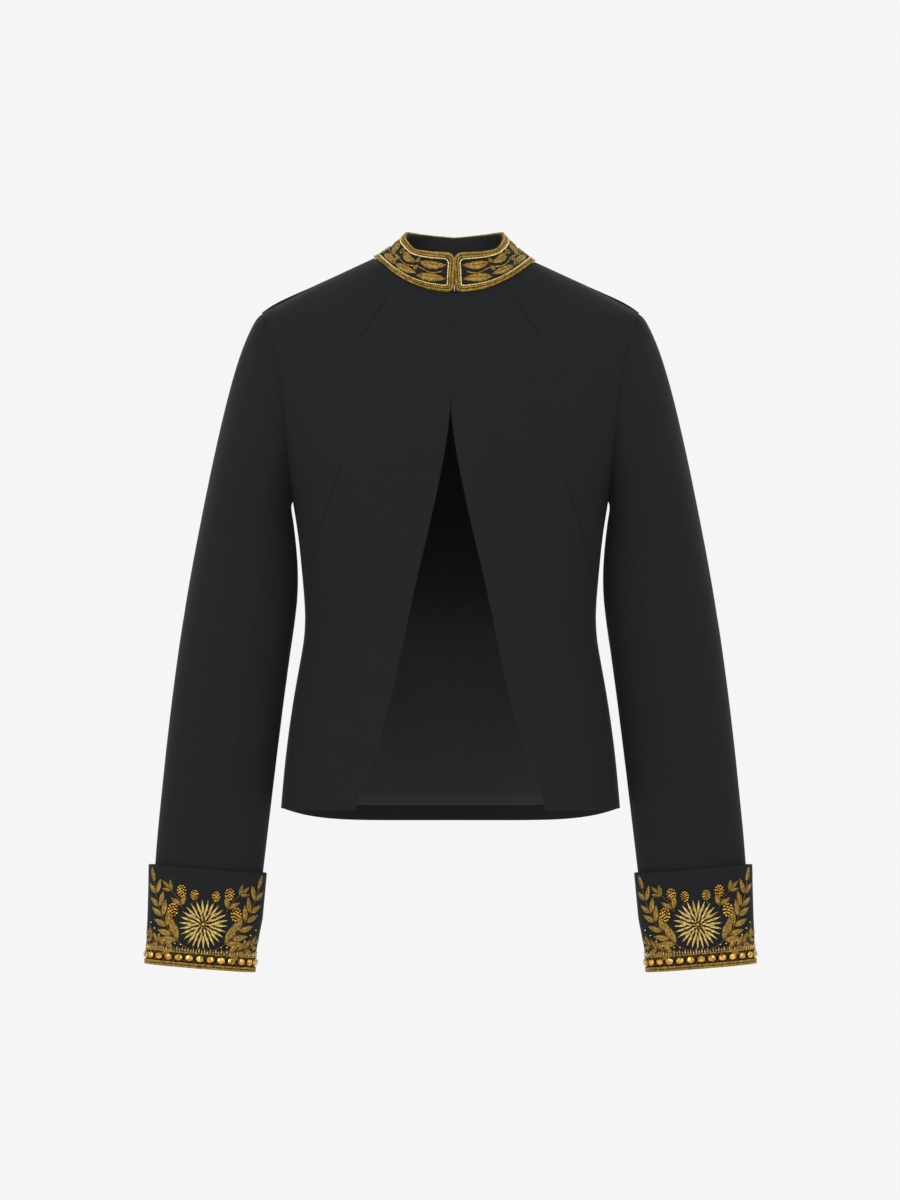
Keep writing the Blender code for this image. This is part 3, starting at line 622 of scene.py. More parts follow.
@dataclass(frozen=True)
class Crease:
    """A soft trough or ridge along a line, x and z in mm; a trough's depth is below 0."""

    places: tuple[Pair, ...]
    depth: float
    half_width: float
    face: Face

    def mirrored(self, side: Side) -> "Crease":
        """A crease that is written for the wearer's right side, as it lies on this one."""
        if side is Side.RIGHT:
            return self
        return replace(self, places=tuple((-x, z) for x, z in self.places))

    def swell(self, at: Array, facing: Array) -> Array:
        """How far each point moves out.

        Args:
            at: Points in mm.
            facing: For each point, -1 where the cloth looks to the front and 1 to the back.

        Returns:
            The distance out for each point, in mm.
        """
        flat = at[:, (0, 2)]
        best = np.full(len(at), np.inf)
        share = np.zeros(len(at))
        whole = sum(math.dist(a, b) for a, b in zip(self.places, self.places[1:]))
        gone = 0.0
        for a, b in zip(self.places, self.places[1:]):
            start, span = np.array(a), np.array(b) - np.array(a)
            length = float(np.hypot(*span))
            along = np.clip((flat - start) @ span / length**2, 0.0, 1.0)
            off = np.hypot(*(flat - start - along[:, None] * span).T)
            share = np.where(off < best, (gone + along * length) / whole, share)
            best = np.minimum(best, off)
            gone += length
        fade = np.sin(np.pi * np.clip(share, 0.03, 0.97)) ** 0.6
        turned = np.clip(0.5 + 0.9 * facing * self.face.value, 0.0, 1.0)
        return self.depth * np.exp(-((best / self.half_width) ** 2)) * fade * turned


@dataclass(frozen=True)
class Hollow:
    """The space that cloth goes round, as rows in mm.

    Each row has its height, its middle's x and y, its half width and its half depth.
    """

    rows: tuple[tuple[float, float, float, float, float], ...]

    def mirrored(self, side: Side) -> "Hollow":
        """A hollow that is written for the wearer's right side, as it lies on this one."""
        if side is Side.RIGHT:
            return self
        return Hollow(tuple((row[0], -row[1], *row[2:]) for row in self.rows))

    def outward(self, at: Array) -> Array:
        """The level direction out of the hollow at each point, at in mm."""
        table = np.array(self.rows)[::-1]
        x, y, wide, deep = (np.interp(at[:, 2], table[:, 0], table[:, i]) for i in (1, 2, 3, 4))
        out = np.stack(((at[:, 0] - x) / wide**2, (at[:, 1] - y) / deep**2), axis=1)
        return np.column_stack((unit(out), np.zeros(len(at))))


def creases(face: Face, *rows: tuple) -> tuple[Crease, ...]:
    """Creases on one face of the cloth, from rows of depth, half width and places."""
    return tuple(Crease(tuple(places), depth, wide, face) for depth, wide, *places in rows)


# The hollows and creases of the body and of the wearer's right side, all in mm
BODY_HOLLOW = Hollow(
    (
        (20.0, 0.0, 0.0, 80.0, 55.0),
        (-60.0, 0.0, 0.0, 190.0, 75.0),
        (-200.0, 0.0, 0.0, 175.0, 110.0),
        (-360.0, 0.0, 0.0, 145.0, 90.0),
        (-560.0, 0.0, 0.0, 170.0, 115.0),
    )
)
SLEEVE_HOLLOW = Hollow(
    (
        (-40.0, -185.0, 4.0, 40.0, 60.0),
        (-120.0, -205.0, 4.0, 42.0, 62.0),
        (-262.0, -203.5, 4.0, 47.0, 58.0),
        (-388.0, -216.0, 6.0, 56.0, 48.0),
        (-488.0, -228.5, -2.0, 56.0, 42.0),
        (-588.0, -239.4, -15.0, 55.0, 35.0),
        (-705.0, -250.0, -28.0, 49.0, 29.0),
    )
)
NECK_DART = ((-63.5, -37.0), (-78.0, -60.0), (-93.5, -81.0))
BUST_DART = ((-107.5, -205.0), (-120.5, -241.0), (-130.5, -268.0), (-141.0, -318.0))
FRONT_CREASES = creases(
    Face.FRONT,
    (-0.7, 5.0, *NECK_DART),
    (0.5, 9.0, (-98.0, -84.0), (-112.0, -104.0)),
    (-0.8, 6.0, *BUST_DART),
    (-0.7, 13.0, (-98.0, -180.0), (-112.0, -150.0), (-140.0, -128.0)),
    (-0.6, 12.0, (-150.0, -196.0), (-128.0, -188.0), (-100.0, -196.0)),
    (-0.8, 10.0, (-144.0, -352.0), (-112.0, -362.0), (-82.0, -356.0)),
    (-0.6, 11.0, (-146.0, -378.0), (-120.0, -388.0), (-98.0, -402.0)),
    (0.7, 18.0, (-46.0, -330.0), (-60.0, -400.0), (-72.0, -470.0)),
    (0.8, 16.0, (-140.0, -430.0), (-128.0, -480.0), (-132.0, -540.0)),
    (0.6, 5.0, (2.0, -38.0), (-3.0, -58.0), (-4.0, -80.0)),
    (-0.5, 7.0, (-18.0, -42.0), (-12.0, -62.0), (-10.0, -88.0)),
)
BACK_CREASES = creases(
    Face.BACK,
    (-0.8, 12.0, (-138.0, -200.0), (-124.0, -178.0), (-112.0, -150.0)),
    (-1.0, 10.0, (-138.0, -352.0), (-104.0, -366.0), (-64.0, -360.0), (-30.0, -368.0)),
    (-0.7, 12.0, (-142.0, -384.0), (-104.0, -392.0), (-72.0, -388.0)),
    (-0.6, 8.0, (-28.0, -330.0), (-14.0, -346.0), (-4.0, -352.0)),
    (0.9, 20.0, (-96.0, -430.0), (-92.0, -490.0), (-98.0, -552.0)),
    (0.8, 18.0, (-18.0, -420.0), (-24.0, -490.0), (-22.0, -552.0)),
)
SLEEVE_CREASES = creases(
    Face.FRONT,
    (-1.5, 5.5, (-193.0, -52.0), (-198.0, -66.0), (-203.0, -92.0), (-206.0, -120.0)),
    (-0.7, 7.0, (-180.0, -76.0), (-182.0, -112.0), (-180.0, -150.0)),
    (-1.2, 9.0, (-182.0, -208.0), (-194.0, -218.0), (-212.0, -224.0)),
    (-1.0, 9.0, (-174.0, -252.0), (-186.0, -268.0), (-202.0, -280.0)),
    (-1.3, 9.0, (-160.0, -350.0), (-182.0, -366.0), (-206.0, -368.0)),
    (-1.1, 8.0, (-164.0, -384.0), (-190.0, -394.0), (-216.0, -388.0)),
    (-0.8, 11.0, (-250.0, -330.0), (-232.0, -350.0), (-214.0, -360.0)),
    (-0.8, 10.0, (-172.0, -440.0), (-196.0, -462.0), (-204.0, -500.0)),
    (0.8, 14.0, (-272.0, -420.0), (-262.0, -470.0), (-266.0, -520.0)),
    (-0.6, 12.0, (-226.0, -560.0), (-238.0, -600.0)),
) + creases(
    Face.BACK,
    (-1.2, 8.0, (-196.0, -66.0), (-206.0, -110.0), (-204.0, -150.0)),
    (-1.3, 9.0, (-184.0, -216.0), (-198.0, -230.0), (-218.0, -242.0)),
    (-1.2, 10.0, (-262.0, -356.0), (-236.0, -368.0), (-206.0, -364.0)),
    (-1.0, 9.0, (-264.0, -392.0), (-238.0, -398.0), (-212.0, -392.0)),
    (0.9, 14.0, (-240.0, -470.0), (-236.0, -530.0), (-246.0, -590.0)),
)
LINING_CREASES = creases(
    Face.BACK,
    (1.3, 16.0, (-70.0, -330.0), (-44.0, -400.0), (-30.0, -470.0)),
    (-1.2, 15.0, (-96.0, -400.0), (-70.0, -470.0), (-52.0, -536.0)),
    (-1.0, 12.0, (-30.0, -380.0), (-14.0, -450.0), (-8.0, -520.0)),
    (0.8, 9.0, (-54.0, -512.0), (-26.0, -520.0), (-6.0, -514.0)),
)


@dataclass(frozen=True)
class ClothPiece:
    """A cut piece of cloth, one on each side: its solid's form, made finer and creased.

    Its flat size is width and length in metres, and {side} in a name stands for the side's word.
    """

    part: str
    flat: Pair
    area: float
    creases: tuple[Crease, ...]
    hollow: Hollow = BODY_HOLLOW
    levels: int = 2
    finish: str = "wool"
    slot: str = "cloth"
    hangs_from: tuple[str, ...] = ()
    set_into: tuple[str, ...] = ()
    rim: float = 0.45 * MM
    seam_reach: float = 0.18 * MM
    set_reach: float = 0.7 * MM

    def build(self, side: Side, frame: dict, finishes: dict[str, Material]) -> Object:
        """Makes one side's piece, which replaces its solid.

        Args:
            side: The wearer's side.
            frame: The loaded frame.
            finishes: The materials by name.

        Returns:
            The new piece.
        """
        nodes, word = frame["nodes"], side.label
        name = f"{self.part}_{word}"
        skin = Workshop.copy_node(nodes[name], f"cloth_{name}")
        others = [Workshop.tree(nodes[other.format(side=word)]) for other in self.set_into]
        Workshop.close_seams(skin, self.seam_reach, self.set_reach, others)
        Workshop.refine(skin, self.levels)
        self.press(skin, side)
        Workshop.round_rims(skin, self.rim)
        Workshop.smooth(skin)
        skin.data.materials.append(finishes[self.finish.format(side=word)])
        Workshop.hand_over(skin, self.slot, name)
        return skin

    def press(self, skin: Object, side: Side) -> None:
        """Moves the wall's points by its creases, inner and outer side alike."""
        points = np.zeros(len(skin.data.vertices) * 3)
        skin.data.vertices.foreach_get("co", points)
        at = points.reshape(-1, 3) / MM
        out = self.hollow.mirrored(side).outward(at)
        moved = sum(crease.mirrored(side).swell(at, out[:, 1]) for crease in self.creases)
        skin.data.vertices.foreach_set("co", ((at + moved[:, None] * out) * MM).reshape(-1))
        skin.data.update()


SLEEVE = {
    "creases": SLEEVE_CREASES,
    "hollow": SLEEVE_HOLLOW,
    "hangs_from": ("cloth_front_{side}",),
    "set_into": ("front_{side}", "back_side_{side}"),
}
CLOTH_PIECES = (
    ClothPiece("front", (0.255, 0.6), 0.096, FRONT_CREASES, levels=3, finish="wool_front_{side}"),
    ClothPiece("back_centre", (0.14, 0.57), 0.047, BACK_CREASES),
    ClothPiece("back_side", (0.17, 0.56), 0.072, BACK_CREASES),
    ClothPiece("top_sleeve", (0.24, 0.69), 0.126, **SLEEVE),
    ClothPiece("under_sleeve", (0.13, 0.62), 0.061, **SLEEVE),
    ClothPiece(
        "lining", (0.16, 0.53), 0.067, BACK_CREASES + LINING_CREASES,
        levels=3, finish="satin", slot="lining", rim=0.25 * MM,
    ),
)


# Goldwork


@dataclass
class Band:
    """A cloth band as a map from its flat layout to its place: along and up in mm, then out."""

    alongs: Array
    grid: Array
    normals: Array
    height: float
    closed: bool

    @property
    def length(self) -> float:
        """The band's length in mm, at half its height."""
        return float(self.alongs[-1] - self.alongs[0])

    def wrap(self, flat: Array) -> Array:
        """Places on the band for flat ones.

        Args:
            flat: Rows of along, up and out, in mm.

        Returns:
            The same places in metres.
        """
        along = flat[:, 0]
        if self.closed:
            along = (along - self.alongs[0]) % self.length + self.alongs[0]
        i = np.clip(np.searchsorted(self.alongs, along, side="right") - 1, 0, len(self.alongs) - 2)
        s = ((along - self.alongs[i]) / (self.alongs[i + 1] - self.alongs[i]))[:, None]
        up = flat[:, 1] / self.height * (self.grid.shape[1] - 1)
        j = np.clip(np.floor(up).astype(int), 0, self.grid.shape[1] - 2)
        t = (up - j)[:, None]
        place, normal = (
            (1 - s) * ((1 - t) * table[i, j] + t * table[i, j + 1])
            + s * ((1 - t) * table[i + 1, j] + t * table[i + 1, j + 1])
            for table in (self.grid, self.normals)
        )
        return place + flat[:, 2:] * MM * unit(normal)

    @staticmethod
    def from_grid(grid: Array, middle: Array, height: float, closed: bool, start: int = 0) -> "Band":
        """A band through columns of places.

        Args:
            grid: Columns by heights by 3, in metres; a closed band repeats its first column last.
            middle: A point inside it.
            height: Its height in mm.
            closed: Whether it goes all the way round.
            start: The column where along is 0.

        Returns:
            The band.
        """
        alongs = lengths(grid[:, grid.shape[1] // 2]) / MM
        if closed:
            inner = grid[:-1]
            across = np.roll(inner, -1, 0) - np.roll(inner, 1, 0)
            across = np.concatenate((across, across[:1]))
        else:
            across = np.gradient(grid, axis=0)
        normals = unit(np.cross(across, np.gradient(grid, axis=1)))
        if float(np.sum(normals[1, 1] * (grid[1, 1] - middle))) < 0:
            normals = -normals
        return Band(alongs - alongs[start], grid, normals, height, closed)


@dataclass
class Goldwork:
    """Flat goldwork gathered as one mesh: places are along, up and out on a band, in mm.

    Its facets stay flat where it is crisp, as on cut beads.
    """

    name: str
    finish: str
    slot: str
    crisp: bool = False
    thread: float = 0.6
    points: list[Array] = field(default_factory=list)
    coords: list[Array] = field(default_factory=list)
    faces: list[tuple[int, ...]] = field(default_factory=list)
    count: int = 0

    def add(self, points: Array, faces: list[tuple[int, ...]], coords: Array) -> None:
        """Adds one piece's points, faces and texture coordinates."""
        self.points.append(points)
        self.coords.append(coords)
        self.faces += [tuple(corner + self.count for corner in face) for face in faces]
        self.count += len(points)

    def tube(self, path: Array, radius: float | Array, sides: int, closed: bool = False) -> None:
        """A round thread along a path.

        Args:
            path: Its middle line, an array of places.
            radius: One radius, or one for each place.
            sides: How many flat sides go round it.
            closed: Whether its end meets its start.
        """
        ahead, behind = np.roll(path, -1, 0), np.roll(path, 1, 0)
        if not closed:
            ahead[-1], behind[0] = path[-1], path[0]
        run = unit(ahead - behind)
        aside = unit(np.cross(run, (0.0, 0.0, 1.0)))
        above = np.cross(aside, run)
        turns = (np.arange(sides) * TURN / sides)[None, :, None]
        ring = np.cos(turns) * aside[:, None] + np.sin(turns) * above[:, None]
        size = np.broadcast_to(radius, len(path))[:, None, None]
        points = (path[:, None] + size * ring).reshape(-1, 3)
        along = np.repeat(lengths(path) / self.thread, sides)
        coords = np.stack((along, np.tile(np.arange(sides) / sides, len(path))), axis=1)
        faces = []
        for i in range(len(path) if closed else len(path) - 1):
            here, there = i * sides, (i + 1) % len(path) * sides
            for j in range(sides):
                k = (j + 1) % sides
                faces.append((here + j, there + j, there + k, here + k))
        if not closed:
            faces.append(tuple(range(sides)))
            faces.append(tuple(range(len(points) - 1, len(points) - sides - 1, -1)))
        self.add(points, faces, coords)

    def cord(self, path: Array, width: float, pitch: float) -> None:
        """Two strands twisted along a closed path.

        Args:
            path: The cord's middle line.
            width: Its whole width.
            pitch: The length of one full twist.
        """
        loop = np.concatenate((path, path[:1]))
        gone = lengths(loop)
        count = max(16, round(gone[-1] / pitch) * 8)
        middle = places_at(loop, gone, np.linspace(0.0, gone[-1], count, endpoint=False))
        aside = unit(np.cross(np.gradient(middle, axis=0), (0.0, 0.0, 1.0)))
        turn = TURN * np.arange(count) / 8
        for phase in (0.0, math.pi):
            swing = np.cos(turn + phase)[:, None] * aside
            swing[:, 2] += np.sin(turn + phase)
            self.tube(middle + 0.25 * width * swing, 0.29 * width, 5, closed=True)

    def leaf(self, middle: Pair, length: float, width: float, turn: float,
             bend: float = 0.0, rise: float = 1.5, teeth: int = 0) -> None:
        """A padded leaf with a middle vein.

        Args:
            middle: Where its middle lies, along and up.
            length: From stem to tip.
            width: At its widest.
            turn: Direction of its tip in degrees from level.
            bend: How much it curves over its length, in degrees.
            rise: How high its padding stands.
            teeth: How many notches each of its edges has.
        """
        columns, rows = (4 * teeth + 1, 7) if teeth else (9, 5)
        u, v = np.linspace(0.0, 1.0, columns), np.linspace(-1.0, 1.0, rows)
        angle = math.radians(turn) + math.radians(bend) * (u - 0.5)
        halfway = 0.5 * (angle[1:] + angle[:-1])
        steps = length * u[1] * np.stack((np.cos(halfway), np.sin(halfway)), axis=1)
        vein = np.concatenate((np.zeros((1, 2)), np.cumsum(steps, axis=0)))
        vein += np.array(middle) - vein[columns // 2]
        half = width / 2 * np.maximum(np.sin(math.pi * u**0.85), 0.06) ** 0.8
        if teeth:
            half *= 1.0 - 0.2 * (u * teeth % 1.0)
        across = half[:, None] * v
        dome = np.sqrt(np.maximum(1.0 - v**2, 0.0)) * (half / half.max())[:, None] ** 0.5
        groove = 0.3 * np.exp(-((v / 0.16) ** 2))
        x = vein[:, :1] - across * np.sin(angle)[:, None]
        up = vein[:, 1:] + across * np.cos(angle)[:, None]
        points = np.stack((x, up, rise * (dome - groove * dome) - 0.15), axis=2).reshape(-1, 3)
        coords = (np.repeat(u * length / 0.85, rows), np.tile(0.5 + v / 2, columns))
        corners = [i * rows + j for i in range(columns - 1) for j in range(rows - 1)]
        faces = [(k, k + rows, k + rows + 1, k + 1) for k in corners]
        self.add(points, faces, np.stack(coords, axis=1))

    def bead(self, place: Triple, size: float, segments: int = 7, rings: int = 4,
             stretch: float = 1.0, turn: float = 0.0, thick: float = 1.0) -> None:
        """A small bead.

        Args:
            place: Its middle, along, up and out.
            size: Its width.
            segments: Sides round it.
            rings: Bands from end to end.
            stretch: Its length along its hole, as a multiple of its width.
            turn: Direction of its hole in degrees from level.
            thick: How far it stands out, as a multiple of its width.
        """
        angle, middle, radius = math.radians(turn), np.array(place), size / 2
        axis = radius * stretch * np.array((math.cos(angle), math.sin(angle), 0.0))
        aside = np.array((-math.sin(angle), math.cos(angle), 0.0))
        polar = (math.pi * np.arange(1, rings) / rings)[:, None, None]
        spokes = (TURN * np.arange(segments) / segments)[:, None]
        spoke = np.cos(spokes) * aside + np.sin(spokes) * np.array((0.0, 0.0, thick))
        bands = middle - np.cos(polar) * axis + radius * np.sin(polar) * spoke
        points = np.concatenate(([middle - axis], bands.reshape(-1, 3), [middle + axis]))
        faces = []
        last = len(points) - 1
        for j in range(segments):
            k = (j + 1) % segments
            faces.append((0, 1 + k, 1 + j))
            for low in range(1, last - segments, segments):
                high = low + segments
                faces.append((low + j, low + k, high + k, high + j))
            faces.append((last, last - segments + j, last - segments + k))
        self.add(points, faces, np.full((len(points), 2), 0.25))

    def row_of_beads(self, path: Array, size: float, pitch: float, stretch: float) -> None:
        """Beads side by side along a closed path, with their holes along it."""
        loop = np.concatenate((path, path[:1]))
        gone = lengths(loop)
        count = round(gone[-1] / pitch)
        at = (np.arange(count) + 0.5) * gone[-1] / count
        for here, there in zip(places_at(loop, gone, at), places_at(loop, gone, at + 0.2)):
            turn = math.degrees(math.atan2(there[1] - here[1], there[0] - here[0]))
            self.bead(tuple(here), size, 6, 4, stretch, turn)

    def build(self, band: Band, finishes: dict[str, Material]) -> Object:
        """Lays the goldwork on the band that it is sewn to, as one object."""
        mesh = bpy.data.meshes.new(self.name)
        mesh.from_pydata(band.wrap(np.concatenate(self.points)).tolist(), [], self.faces)
        layer = mesh.uv_layers.new(name="UVMap")
        corners = np.zeros(len(mesh.loops), dtype=np.int32)
        mesh.loops.foreach_get("vertex_index", corners)
        layer.data.foreach_set("uv", np.concatenate(self.coords)[corners].reshape(-1))
        work = Workshop.add(self.name, mesh)
        with Workshop.editing(work):
            bpy.ops.mesh.normals_make_consistent(inside=False)
        if not self.crisp:
            Workshop.smooth(work, 60.0)
        mesh.materials.append(finishes[self.finish])
        return Workshop.hand_over(work, self.slot)


Work = dict[str, Goldwork]

# The finish of each kind of goldwork
COLLAR_FINISHES = {
    "cord": "cord_gold",
    "pearls": "pale_gold",
    "leaves": "leaf_gold",
    "stems": "leaf_gold",
    "seeds": "pale_gold",
}
CUFF_FINISHES = {
    "cord": "cord_gold",
    "beads": "amber_glass",
    "zigzag": "bronze",
    "rosettes": "purl_gold",
    "leaves": "leaf_gold",
    "stems": "bronze",
    "seeds": "amber_glass",
    "pearls": "pale_gold",
}
# Collar leaves in mm on the band: along from the front edge, up, length, width, turn of the tip
# down from level and bend, in degrees. Towards the centre back a pair repeats every REPEAT
REPEAT = 30.0
COLLAR_LEAVES = (
    (22.5, 26.2, 29.0, 9.8, 0.0, 20.0),
    (22.5, 13.4, 29.0, 10.2, -4.0, -24.0),
    (54.5, 27.0, 28.0, 10.0, 8.0, 22.0),
    (49.0, 13.4, 24.0, 10.2, -6.0, -18.0),
    (86.5, 25.0, 23.0, 9.8, 36.0, 14.0),
    (76.5, 13.0, 25.0, 10.0, -2.0, -20.0),
    *(
        (along + REPEAT * i, *leaf)
        for i in range(3)
        for along, *leaf in ((112.0, 27.0, 27.0, 9.8, 10.0, 20.0), (106.0, 13.4, 25.0, 10.0, -8.0, -20.0))
    ),
    (188.0, 13.4, 14.0, 8.0, -6.0, -16.0),
)
# Collar buds in mm: along from the front edge, up
COLLAR_BUDS = (
    (39.5, 29.0), (39.0, 20.0), (66.5, 18.6),
    *((96.0 + REPEAT * i, 20.0) for i in range(3)),
    (184.0, 21.0),
)
# Collar curls in mm: along from the front edge, up, and 1 or -1 for the way they turn
COLLAR_CURLS = (
    (64.5, 11.4, 1.0), (70.0, 28.6, -1.0), (94.0, 11.6, 1.0), (99.0, 29.0, -1.0), (124.0, 11.6, 1.0),
    (127.0, 29.0, -1.0), (154.0, 11.6, 1.0), (157.0, 29.0, -1.0), (184.0, 29.0, -1.0),
)
# The hook's bill between the collar's ends, in mm on the band: along, up, out
HOOK_BILL = ((-0.9, 0.6, -0.8), (-0.9, 1.4, 0.3), (-0.9, 3.4, 0.8), (-0.9, 7.6, 0.4), (-0.9, 8.2, -0.8))


@dataclass
class Collar:
    """The stand-up band: plain black cloth with a leaf scroll between corded borders.

    A cord or a row of pearls has its inset from the band's edge and its width. The thread loop has
    its height on the band, its half width and half height, and its thread's radius.
    """

    middle_x: float = 3.9 * MM
    wall: float = 2.4 * MM
    height: float = 39.5
    corner: float = 9.0
    step: float = 2.0
    rows: int = 14
    edge_cord: Pair = (1.0, 3.0)
    inner_cord: Pair = (3.8, 2.3)
    pearls: Pair = (6.1, 2.3)
    foot_radius: float = 6.0
    least_radius: float = 5.0
    teeth: int = 5
    stem_start: float = 12.0
    stem_up: float = 19.4
    stem_wave: float = 1.5
    bud_length: float = 7.5
    bud_width: float = 4.6
    seed_step: float = 4.6
    seed_up: float = 19.6
    curl_radius: float = 3.8
    curl_shrink: float = 0.72
    bill_radius: float = 0.55
    thread_loop: tuple[float, float, float, float] = (-2.4, 1.3, 1.7, 0.35)
    flat: Pair = (0.4, 0.05)
    area: float = 0.0158

    def measure(self, node: Object) -> Band:
        """Reads the band's plain inner side from its solid and moves it out by the wall."""
        tree = Workshop.tree(node)
        near = np.arange(0.8, 6.0, 0.4)
        turns = np.concatenate((near, np.arange(6.0, 354.5, self.step), 360.0 - near[::-1]))
        read = (self.read_column(tree, math.radians(turn)) for turn in turns)
        grid = np.array([column for column in read if column is not None])
        gone = lengths(grid[:, 0]) / MM
        whole = (gone > self.corner + 1.0) & (gone < gone[-1] - self.corner - 1.0)
        first, last = np.flatnonzero(whole)[[0, -1]]
        grid[:first] = grid[:first, :1] + grid[first] - grid[first, :1]
        grid[last + 1 :] = grid[last + 1 :, :1] + grid[last] - grid[last, :1]
        for _ in range(3):
            grid[1:-1] = 0.25 * grid[:-2] + 0.5 * grid[1:-1] + 0.25 * grid[2:]
        middle = np.array((self.middle_x, 0.0, 0.0))
        inner = Band.from_grid(grid, middle, self.height, False)
        outer = inner.grid + self.wall * inner.normals
        return Band.from_grid(outer, middle, self.height, False)

    def read_column(self, tree: BVHTree, turn: float) -> Array | None:
        """The inner side's places up the band at one turn from the front, or None in its gap.

        The band leans in all the way up, so its top rim starts where it is nearest to the middle.
        """
        out = Vector((math.sin(turn), -math.cos(turn), 0.0))
        found = []
        for height in np.arange(-46.0, 36.0, 0.25):
            hit = tree.ray_cast(Vector((self.middle_x, 0.0, height * MM)), out)
            if hit[0] is not None and hit[1].dot(out) < -0.5:
                found.append((*hit[0], hit[3]))
        if len(found) < 20:
            return None
        found = np.array(found)
        found = found[: np.argmin(found[:, 3]) + 1]
        return places_at(found, found[:, 2], np.linspace(found[0, 2], found[-1, 2], self.rows))

    def corner_share(self, distance: float) -> float:
        """How much of the band's height is left near a rounded front corner."""
        if distance >= self.corner:
            return 1.0
        rest = self.corner - distance
        drop = self.corner - math.sqrt(self.corner**2 - rest**2)
        return 1.0 - drop / self.height

    def lay_cloth(self, band: Band, outside: Material, inside: Material) -> Object:
        """The band's black cloth, turned over at its edges, with its inner side in a paler wool as painted
        light.
        """
        near = np.array((0.0, 0.4, 1.0, 2.0, 3.5, 5.5, 7.5, 9.0))
        between = np.linspace(self.corner + 2.0, band.length - self.corner - 2.0, 176)
        alongs = np.concatenate((near, between, band.length - near[::-1]))
        left = [self.corner_share(min(along, band.length - along)) for along in alongs]
        ups = self.height * np.array(left)
        shares = np.linspace(0.0, 1.0, 17)
        rows = [np.column_stack((alongs, share * ups, np.zeros(len(alongs)))) for share in shares]
        cloth = Workshop.sheet("cloth_collar", np.array([band.wrap(row) for row in rows]))
        Workshop.join_rims(cloth)
        cloth.data.materials.append(outside)
        cloth.data.materials.append(inside)
        # The inner faces take the paler wool, which is painted light
        Workshop.apply(cloth, "SOLIDIFY", thickness=self.wall, offset=-1.0, material_offset=1)
        Workshop.round_rims(cloth, 0.7 * MM, 3)
        Workshop.smooth(cloth)
        return Workshop.hand_over(cloth, "cloth", "collar")

    def border(self, band: Band, inset: float, out: float) -> Array:
        """A closed line round the band, an inset in from its edges, with its corners rounded."""
        top = max(self.corner - inset, self.least_radius)
        low = max(self.foot_radius - inset, 1.0)
        line = []
        for radius, start in ((low, 180.0), (low, 270.0), (top, 0.0), (top, 90.0)):
            edge = inset + radius
            x = edge if start in (90.0, 180.0) else band.length - edge
            up = edge if start >= 180.0 else self.height - edge
            for turn in np.radians(np.linspace(start, start + 90.0, 9)):
                line.append((x + radius * math.cos(turn), up + radius * math.sin(turn), out))
        line = np.array(line + line[:1])
        gone = lengths(line)
        return places_at(line, gone, np.arange(0.0, gone[-1], 0.8))

    def build(self, frame: dict, finishes: dict[str, Material]) -> None:
        """Makes the band and its goldwork."""
        band = self.measure(frame["nodes"]["collar"])
        LOG.info("collar band %.1f mm round", band.length)
        cloth = self.lay_cloth(band, finishes["wool"], finishes["wool_inner"])
        work = {
            name: Goldwork(f"collar_{name}", finish, "collar_goldwork")
            for name, finish in COLLAR_FINISHES.items()
        }
        for inset, width in (self.edge_cord, self.inner_cord):
            work["cord"].cord(self.border(band, inset, 0.9), width, 1.2 * width)
        inset, size = self.pearls
        work["pearls"].row_of_beads(self.border(band, inset, 0.8), size, 0.75 * size, 0.8)
        for turned in (False, True):
            self.sew_half(band, work, turned)
        self.sew_fastening(work)
        pieces = [one.build(band, finishes) for one in work.values()]

    def sew_fastening(self, work: Work) -> None:
        """The hook's bill between the band's ends and the thread loop under them."""
        work["bill"] = Goldwork("hook_bill", "steel_wire", "hook_metal")
        work["bill"].tube(np.array(HOOK_BILL), self.bill_radius, 8)
        up, wide, high, thick = self.thread_loop
        turns = np.linspace(0.0, TURN, 20, endpoint=False)
        ring = (HOOK_BILL[0][0] + wide * np.sin(turns), up + high * np.cos(turns), np.full(20, 0.5))
        work["loop"] = Goldwork("thread_loop", "wool", "cloth")
        work["loop"].tube(np.stack(ring, axis=1), thick, 6, closed=True)

    def sew_half(self, band: Band, work: Work, turned: bool) -> None:
        """Sews the leaf scroll on half the band, or turned over on the half that ends at the right."""
        start, way = (band.length, -1.0) if turned else (0.0, 1.0)
        for along, up, length, width, turn, bend in COLLAR_LEAVES:
            aim = -turn if turned else 180.0 + turn
            middle = (start + way * along, up)
            work["leaves"].leaf(middle, length, width, aim, -way * bend, 1.7, self.teeth)
        at = np.linspace(self.stem_start, band.length / 2, 150)
        wave = self.stem_up + self.stem_wave * np.sin(TURN * (at - REPEAT) / REPEAT)
        work["stems"].tube(np.column_stack((start + way * at, wave, np.full(150, 0.5))), 0.75, 6)
        for along, up in COLLAR_BUDS:
            aim = 60.0 if turned else 120.0
            middle = (start + way * along, up)
            work["leaves"].leaf(middle, self.bud_length, self.bud_width, aim, 0.0, 1.9)
            seed = (start + way * (along + self.seed_step), self.seed_up, 0.6)
            work["seeds"].bead(seed, 1.5)
        share = np.linspace(0.0, 1.0, 22)
        angle = np.radians(-70.0 + 400.0 * share)
        radius = self.curl_radius * (1.0 - self.curl_shrink * share)
        for along, up, curl in COLLAR_CURLS:
            x = start + way * (along + radius * np.cos(angle))
            path = np.column_stack((x, up + curl * radius * np.sin(angle), np.full(22, 0.6)))
            work["leaves"].tube(path, np.linspace(1.25, 0.7, 22), 6)


# Cuff sections in mm, bottom to top: height, outer and inner distance, depth, how far the middle
# stands back
CUFF_ROWS = (
    (-704.6, 303.4, 196.4, 66.0, -28.6),
    (-680.0, 303.2, 193.0, 69.0, -26.4),
    (-652.0, 302.2, 187.4, 72.0, -22.6),
    (-625.0, 301.6, 184.9, 75.0, -19.2),
    (-606.0, 301.4, 183.2, 77.0, -16.8),
)
